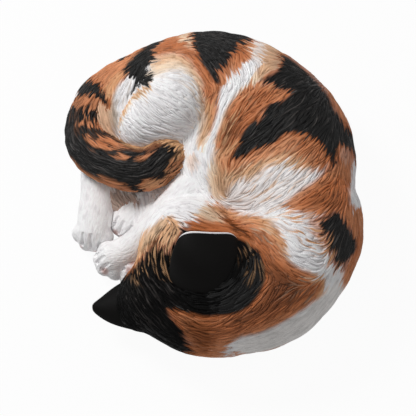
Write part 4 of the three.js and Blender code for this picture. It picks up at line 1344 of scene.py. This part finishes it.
def mixed(tree, share, usual, other, output):
    """Gives an output one shader with a share of another."""
    mix = node(tree, "ShaderNodeMixShader")
    for source, target in zip((share, usual.outputs[0], other.outputs[0]), mix.inputs):
        link(tree, source, target)
    link(tree, mix.outputs["Shader"], output.inputs["Surface"])


def plain_sight(tree):
    """1 where the camera, a reflection or a see-through surface looks at something."""
    path = node(tree, "ShaderNodeLightPath")
    seen = path.outputs["Is Camera Ray"]
    for ray in ("Is Glossy Ray", "Is Transmission Ray"):
        either = node(tree, "ShaderNodeMath", operation="MAXIMUM")
        link(tree, seen, either.inputs[0])
        link(tree, path.outputs[ray], either.inputs[1])
        seen = either.outputs["Value"]
    return seen


class CATSTATUE_OT_body(bpy.types.Operator):
    """Add the curled torso with its coat of white, ginger and black"""

    bl_idname = "cat_statue.body"
    bl_label = "Body"

    def execute(self, context):
        form = standing(filleted(
            torso, [(head, 1.5, 14), (thigh, 2.5, 8), (foreleg, 2.5, 6), (tail, 3, 6)], 3.5))
        piece = sculpt(
            context, "carved_body", form, ((-122, -142, 0), (128, 145, 104)), FUR_CELL,
            combed(COAT_COMB), body_coat, "body_shell", seed=11,
            shyness=smooth_neck)
        cut_recess(piece)
        return {"FINISHED"}


class CATSTATUE_OT_head(bpy.types.Operator):
    """Add the head, rolled on to its left cheek"""

    bl_idname = "cat_statue.head"
    bl_label = "Head"

    def execute(self, context):
        rounded = filleted(head, [(torso, 1.5, 14)], 3.5)
        form = standing(tucked(rounded, (torso, 5)))
        sculpt(context, "carved_head", form, ((-88, -145, 0), (46, 4, 106)), FUR_CELL,
               combed(COAT_COMB), body_coat, "head", seed=23, shyness=smooth_neck,
               finish=HEAD_FINISH)
        return {"FINISHED"}


def smooth_neck(points):
    """How smooth the neck is left."""
    outline = next(layer[-1] for layer in COAT_LAYERS if layer[0] == "neck_grey_and_shade")
    return ramp(inset(seen_places(points), outline), -NECK_EDGE, NECK_EDGE) * NECK_SMOOTHNESS


class CATSTATUE_OT_thigh(bpy.types.Operator):
    """Add the round right thigh"""

    bl_idname = "cat_statue.thigh"
    bl_label = "Right thigh"

    def execute(self, context):
        form = standing(tucked(thigh, (torso, 5)))
        sculpt(context, "carved_right_thigh", form, ((-110, 28, 0), (10, 114, 108)), FUR_CELL,
               combed(THIGH_COMB), thigh_coat, "right_thigh", seed=37)
        return {"FINISHED"}


class CATSTATUE_OT_tail(bpy.types.Operator):
    """Add the banded tail that lies round the left side"""

    bl_idname = "cat_statue.tail"
    bl_label = "Tail"

    def execute(self, context):
        form = tucked(filleted(tail, [(torso, 2, 8)], 2), (torso, 5), (thigh, 4))
        sculpt(context, "carved_tail", form, ((-130, -8, 16), (-15, 128, 90)), FUR_CELL,
               along(TAIL_LINE), tail_coat, "tail", seed=41, fur=TAIL_FUR)
        return {"FINISHED"}


class CATSTATUE_OT_feet(bpy.types.Operator):
    """Add both hind feet, the right foreleg and the left forepaw"""

    bl_idname = "cat_statue.feet"
    bl_label = "Feet and foreleg"

    def execute(self, context):
        feet = [
            ("right_hind_foot", right_hind_foot, RIGHT_HIND_FOOT_LINE, HIND_FOOT_END,
             [(torso, 4), (thigh, 4), (tail, 4)], ((-124, -46, 0), (-78, 56, 44)), 51),
            ("left_hind_foot", left_hind_foot, LEFT_HIND_FOOT_LINE, HIND_FOOT_END,
             [(torso, 4), (thigh, 4), (tail, 4), (right_hind_foot, 1)],
             ((-98, -40, 0), (-26, 38, 44)), 52),
            ("right_foreleg", foreleg, FORELEG_LINE, FORELEG_END,
             [(torso, 5), (thigh, 4), (tail, 2), (head, 4), (left_hind_foot, 2)],
             ((-112, -74, 0), (28, 36, 84)), 53),
            ("left_forepaw", forepaw, FOREPAW_LINE, FOREPAW_END,
             [(torso, 4), (head, 4), (foreleg, 2)], ((-90, -84, 0), (-28, -36, 36)), 54),
        ]
        for name, own, line, radius, neighbours, box, seed in feet:
            grooves = toe_grooves(line, radius, radius * GROOVE_SPREAD)
            form = standing(without(tucked(own, *neighbours), *grooves), FOOT_EDGE)
            sculpt(context, "carved_" + name, form, box, FOOT_CELL,
                   along(line), white_coat, name, seed, fur=FEET_FUR,
                   touch_up=pink_toes(PINK_TOES[name]))
        return {"FINISHED"}


def pink_toes(spots):
    """Tints the toes of a foot at its spots."""
    def touch_up(points, outward, colour, coat):
        places = seen_places(points, outward @ VIEW_TOWARD < 0)
        share = near_spots(places, [(*spot, *TOE_TINT) for spot in spots])
        return blend(colour, coat["toe_pink"], share)
    return touch_up


class CATSTATUE_OT_ears(bpy.types.Operator):
    """Add both ears, smooth and black behind, pink inside, with a pale rim that is partly a painted
    highlight
    """

    bl_idname = "cat_statue.ears"
    bl_label = "Ears"

    def execute(self, context):
        coat = context.scene.cat_statue_coat.linear_values()
        material = painted_resin(*EAR_FINISH)
        # the rims, white on the right ear and light grey on the left: partly pale hair and partly a
        # painted highlight along the edge that catches the light
        for name, rows, rim in (("right_ear", RIGHT_EAR_ROWS, coat["white"]),
                                ("left_ear", LEFT_EAR_ROWS, coat["rub_and_glint_black"])):
            points, faces, half = ear_sheet(rows, EAR_THICKNESS)
            row = np.arange(half) // len(rows[0])
            part = np.concatenate((-np.minimum(row, 1), 3 + np.zeros(half)))
            points, faces, part = refined(points, faces, EAR_DIVISIONS, carried=part)
            colour = np.where(part[:, None] < 1.5, coat["ear_black"], coat["ear_pink"])
            edge = ramp(part, -RIM_WIDTH, 0.0) * ramp(-part, -RIM_INSIDE[0], -RIM_INSIDE[1])
            edge = edge * ramp(points[:, 1] - RIM_ENDS[name], 0, RIM_FADE)
            colour = blend(colour, rim, edge)
            add_piece("smooth_" + name, points, faces, colour, material, name)
        return {"FINISHED"}


class CATSTATUE_OT_underside(bpy.types.Operator):
    """Finish the base plate and the pads that the statue rests on"""

    bl_idname = "cat_statue.underside"
    bl_label = "Base plate and pads"

    def execute(self, context):
        coat = context.scene.cat_statue_coat.linear_values()
        resin = plain_surface("bare_resin", coat["resin"], roughness=0.7, scale=300.0,
                              depth=0.0002, speckle=0.12)
        felt = plain_surface("pad_felt", coat["felt"], roughness=0.95, scale=1500.0,
                             depth=0.0004, speckle=0.35)
        for name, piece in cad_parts.items():
            if name == "base_plate" or name.startswith("pad_"):
                piece.data.materials.clear()
                piece.data.materials.append(resin if name == "base_plate" else felt)
        return {"FINISHED"}


OPERATORS = (CATSTATUE_OT_stage, CATSTATUE_OT_body, CATSTATUE_OT_head, CATSTATUE_OT_thigh,
             CATSTATUE_OT_tail, CATSTATUE_OT_feet, CATSTATUE_OT_ears, CATSTATUE_OT_underside)


class CATSTATUE_PT_panel(bpy.types.Panel):
    """Lists the pieces of the statue with their sizes and colours"""

    bl_idname = "CATSTATUE_PT_panel"
    bl_label = "Cat Statue"
    bl_space_type = "VIEW_3D"
    bl_region_type = "UI"
    bl_category = "Cat Statue"

    def draw(self, context):
        for group in (context.scene.cat_statue_fur, context.scene.cat_statue_coat,
                      context.scene.cat_statue_stage):
            box = self.layout.box()
            for name in type(group).__annotations__:
                box.prop(group, name)
        for operator in OPERATORS:
            self.layout.operator(operator.bl_idname)


GROUPS = {"cat_statue_fur": CatStatueFur, "cat_statue_coat": CatStatueCoat,
          "cat_statue_stage": CatStatueStage}
CLASSES = (*GROUPS.values(), *OPERATORS, CATSTATUE_PT_panel)


def register():
    for made in CLASSES:
        bpy.utils.register_class(made)
    for name, group in GROUPS.items():
        setattr(bpy.types.Scene, name, bpy.props.PointerProperty(type=group))


def unregister():
    for name in GROUPS:
        delattr(bpy.types.Scene, name)
    for made in reversed(CLASSES):
        bpy.utils.unregister_class(made)


def main():
    register()
    bpy.ops.cat_statue.stage()
    bpy.ops.cat_statue.body()
    bpy.ops.cat_statue.head()
    bpy.ops.cat_statue.thigh()
    bpy.ops.cat_statue.tail()
    bpy.ops.cat_statue.feet()
    bpy.ops.cat_statue.ears()
    bpy.ops.cat_statue.underside()


if __name__ == "__main__":
    main()
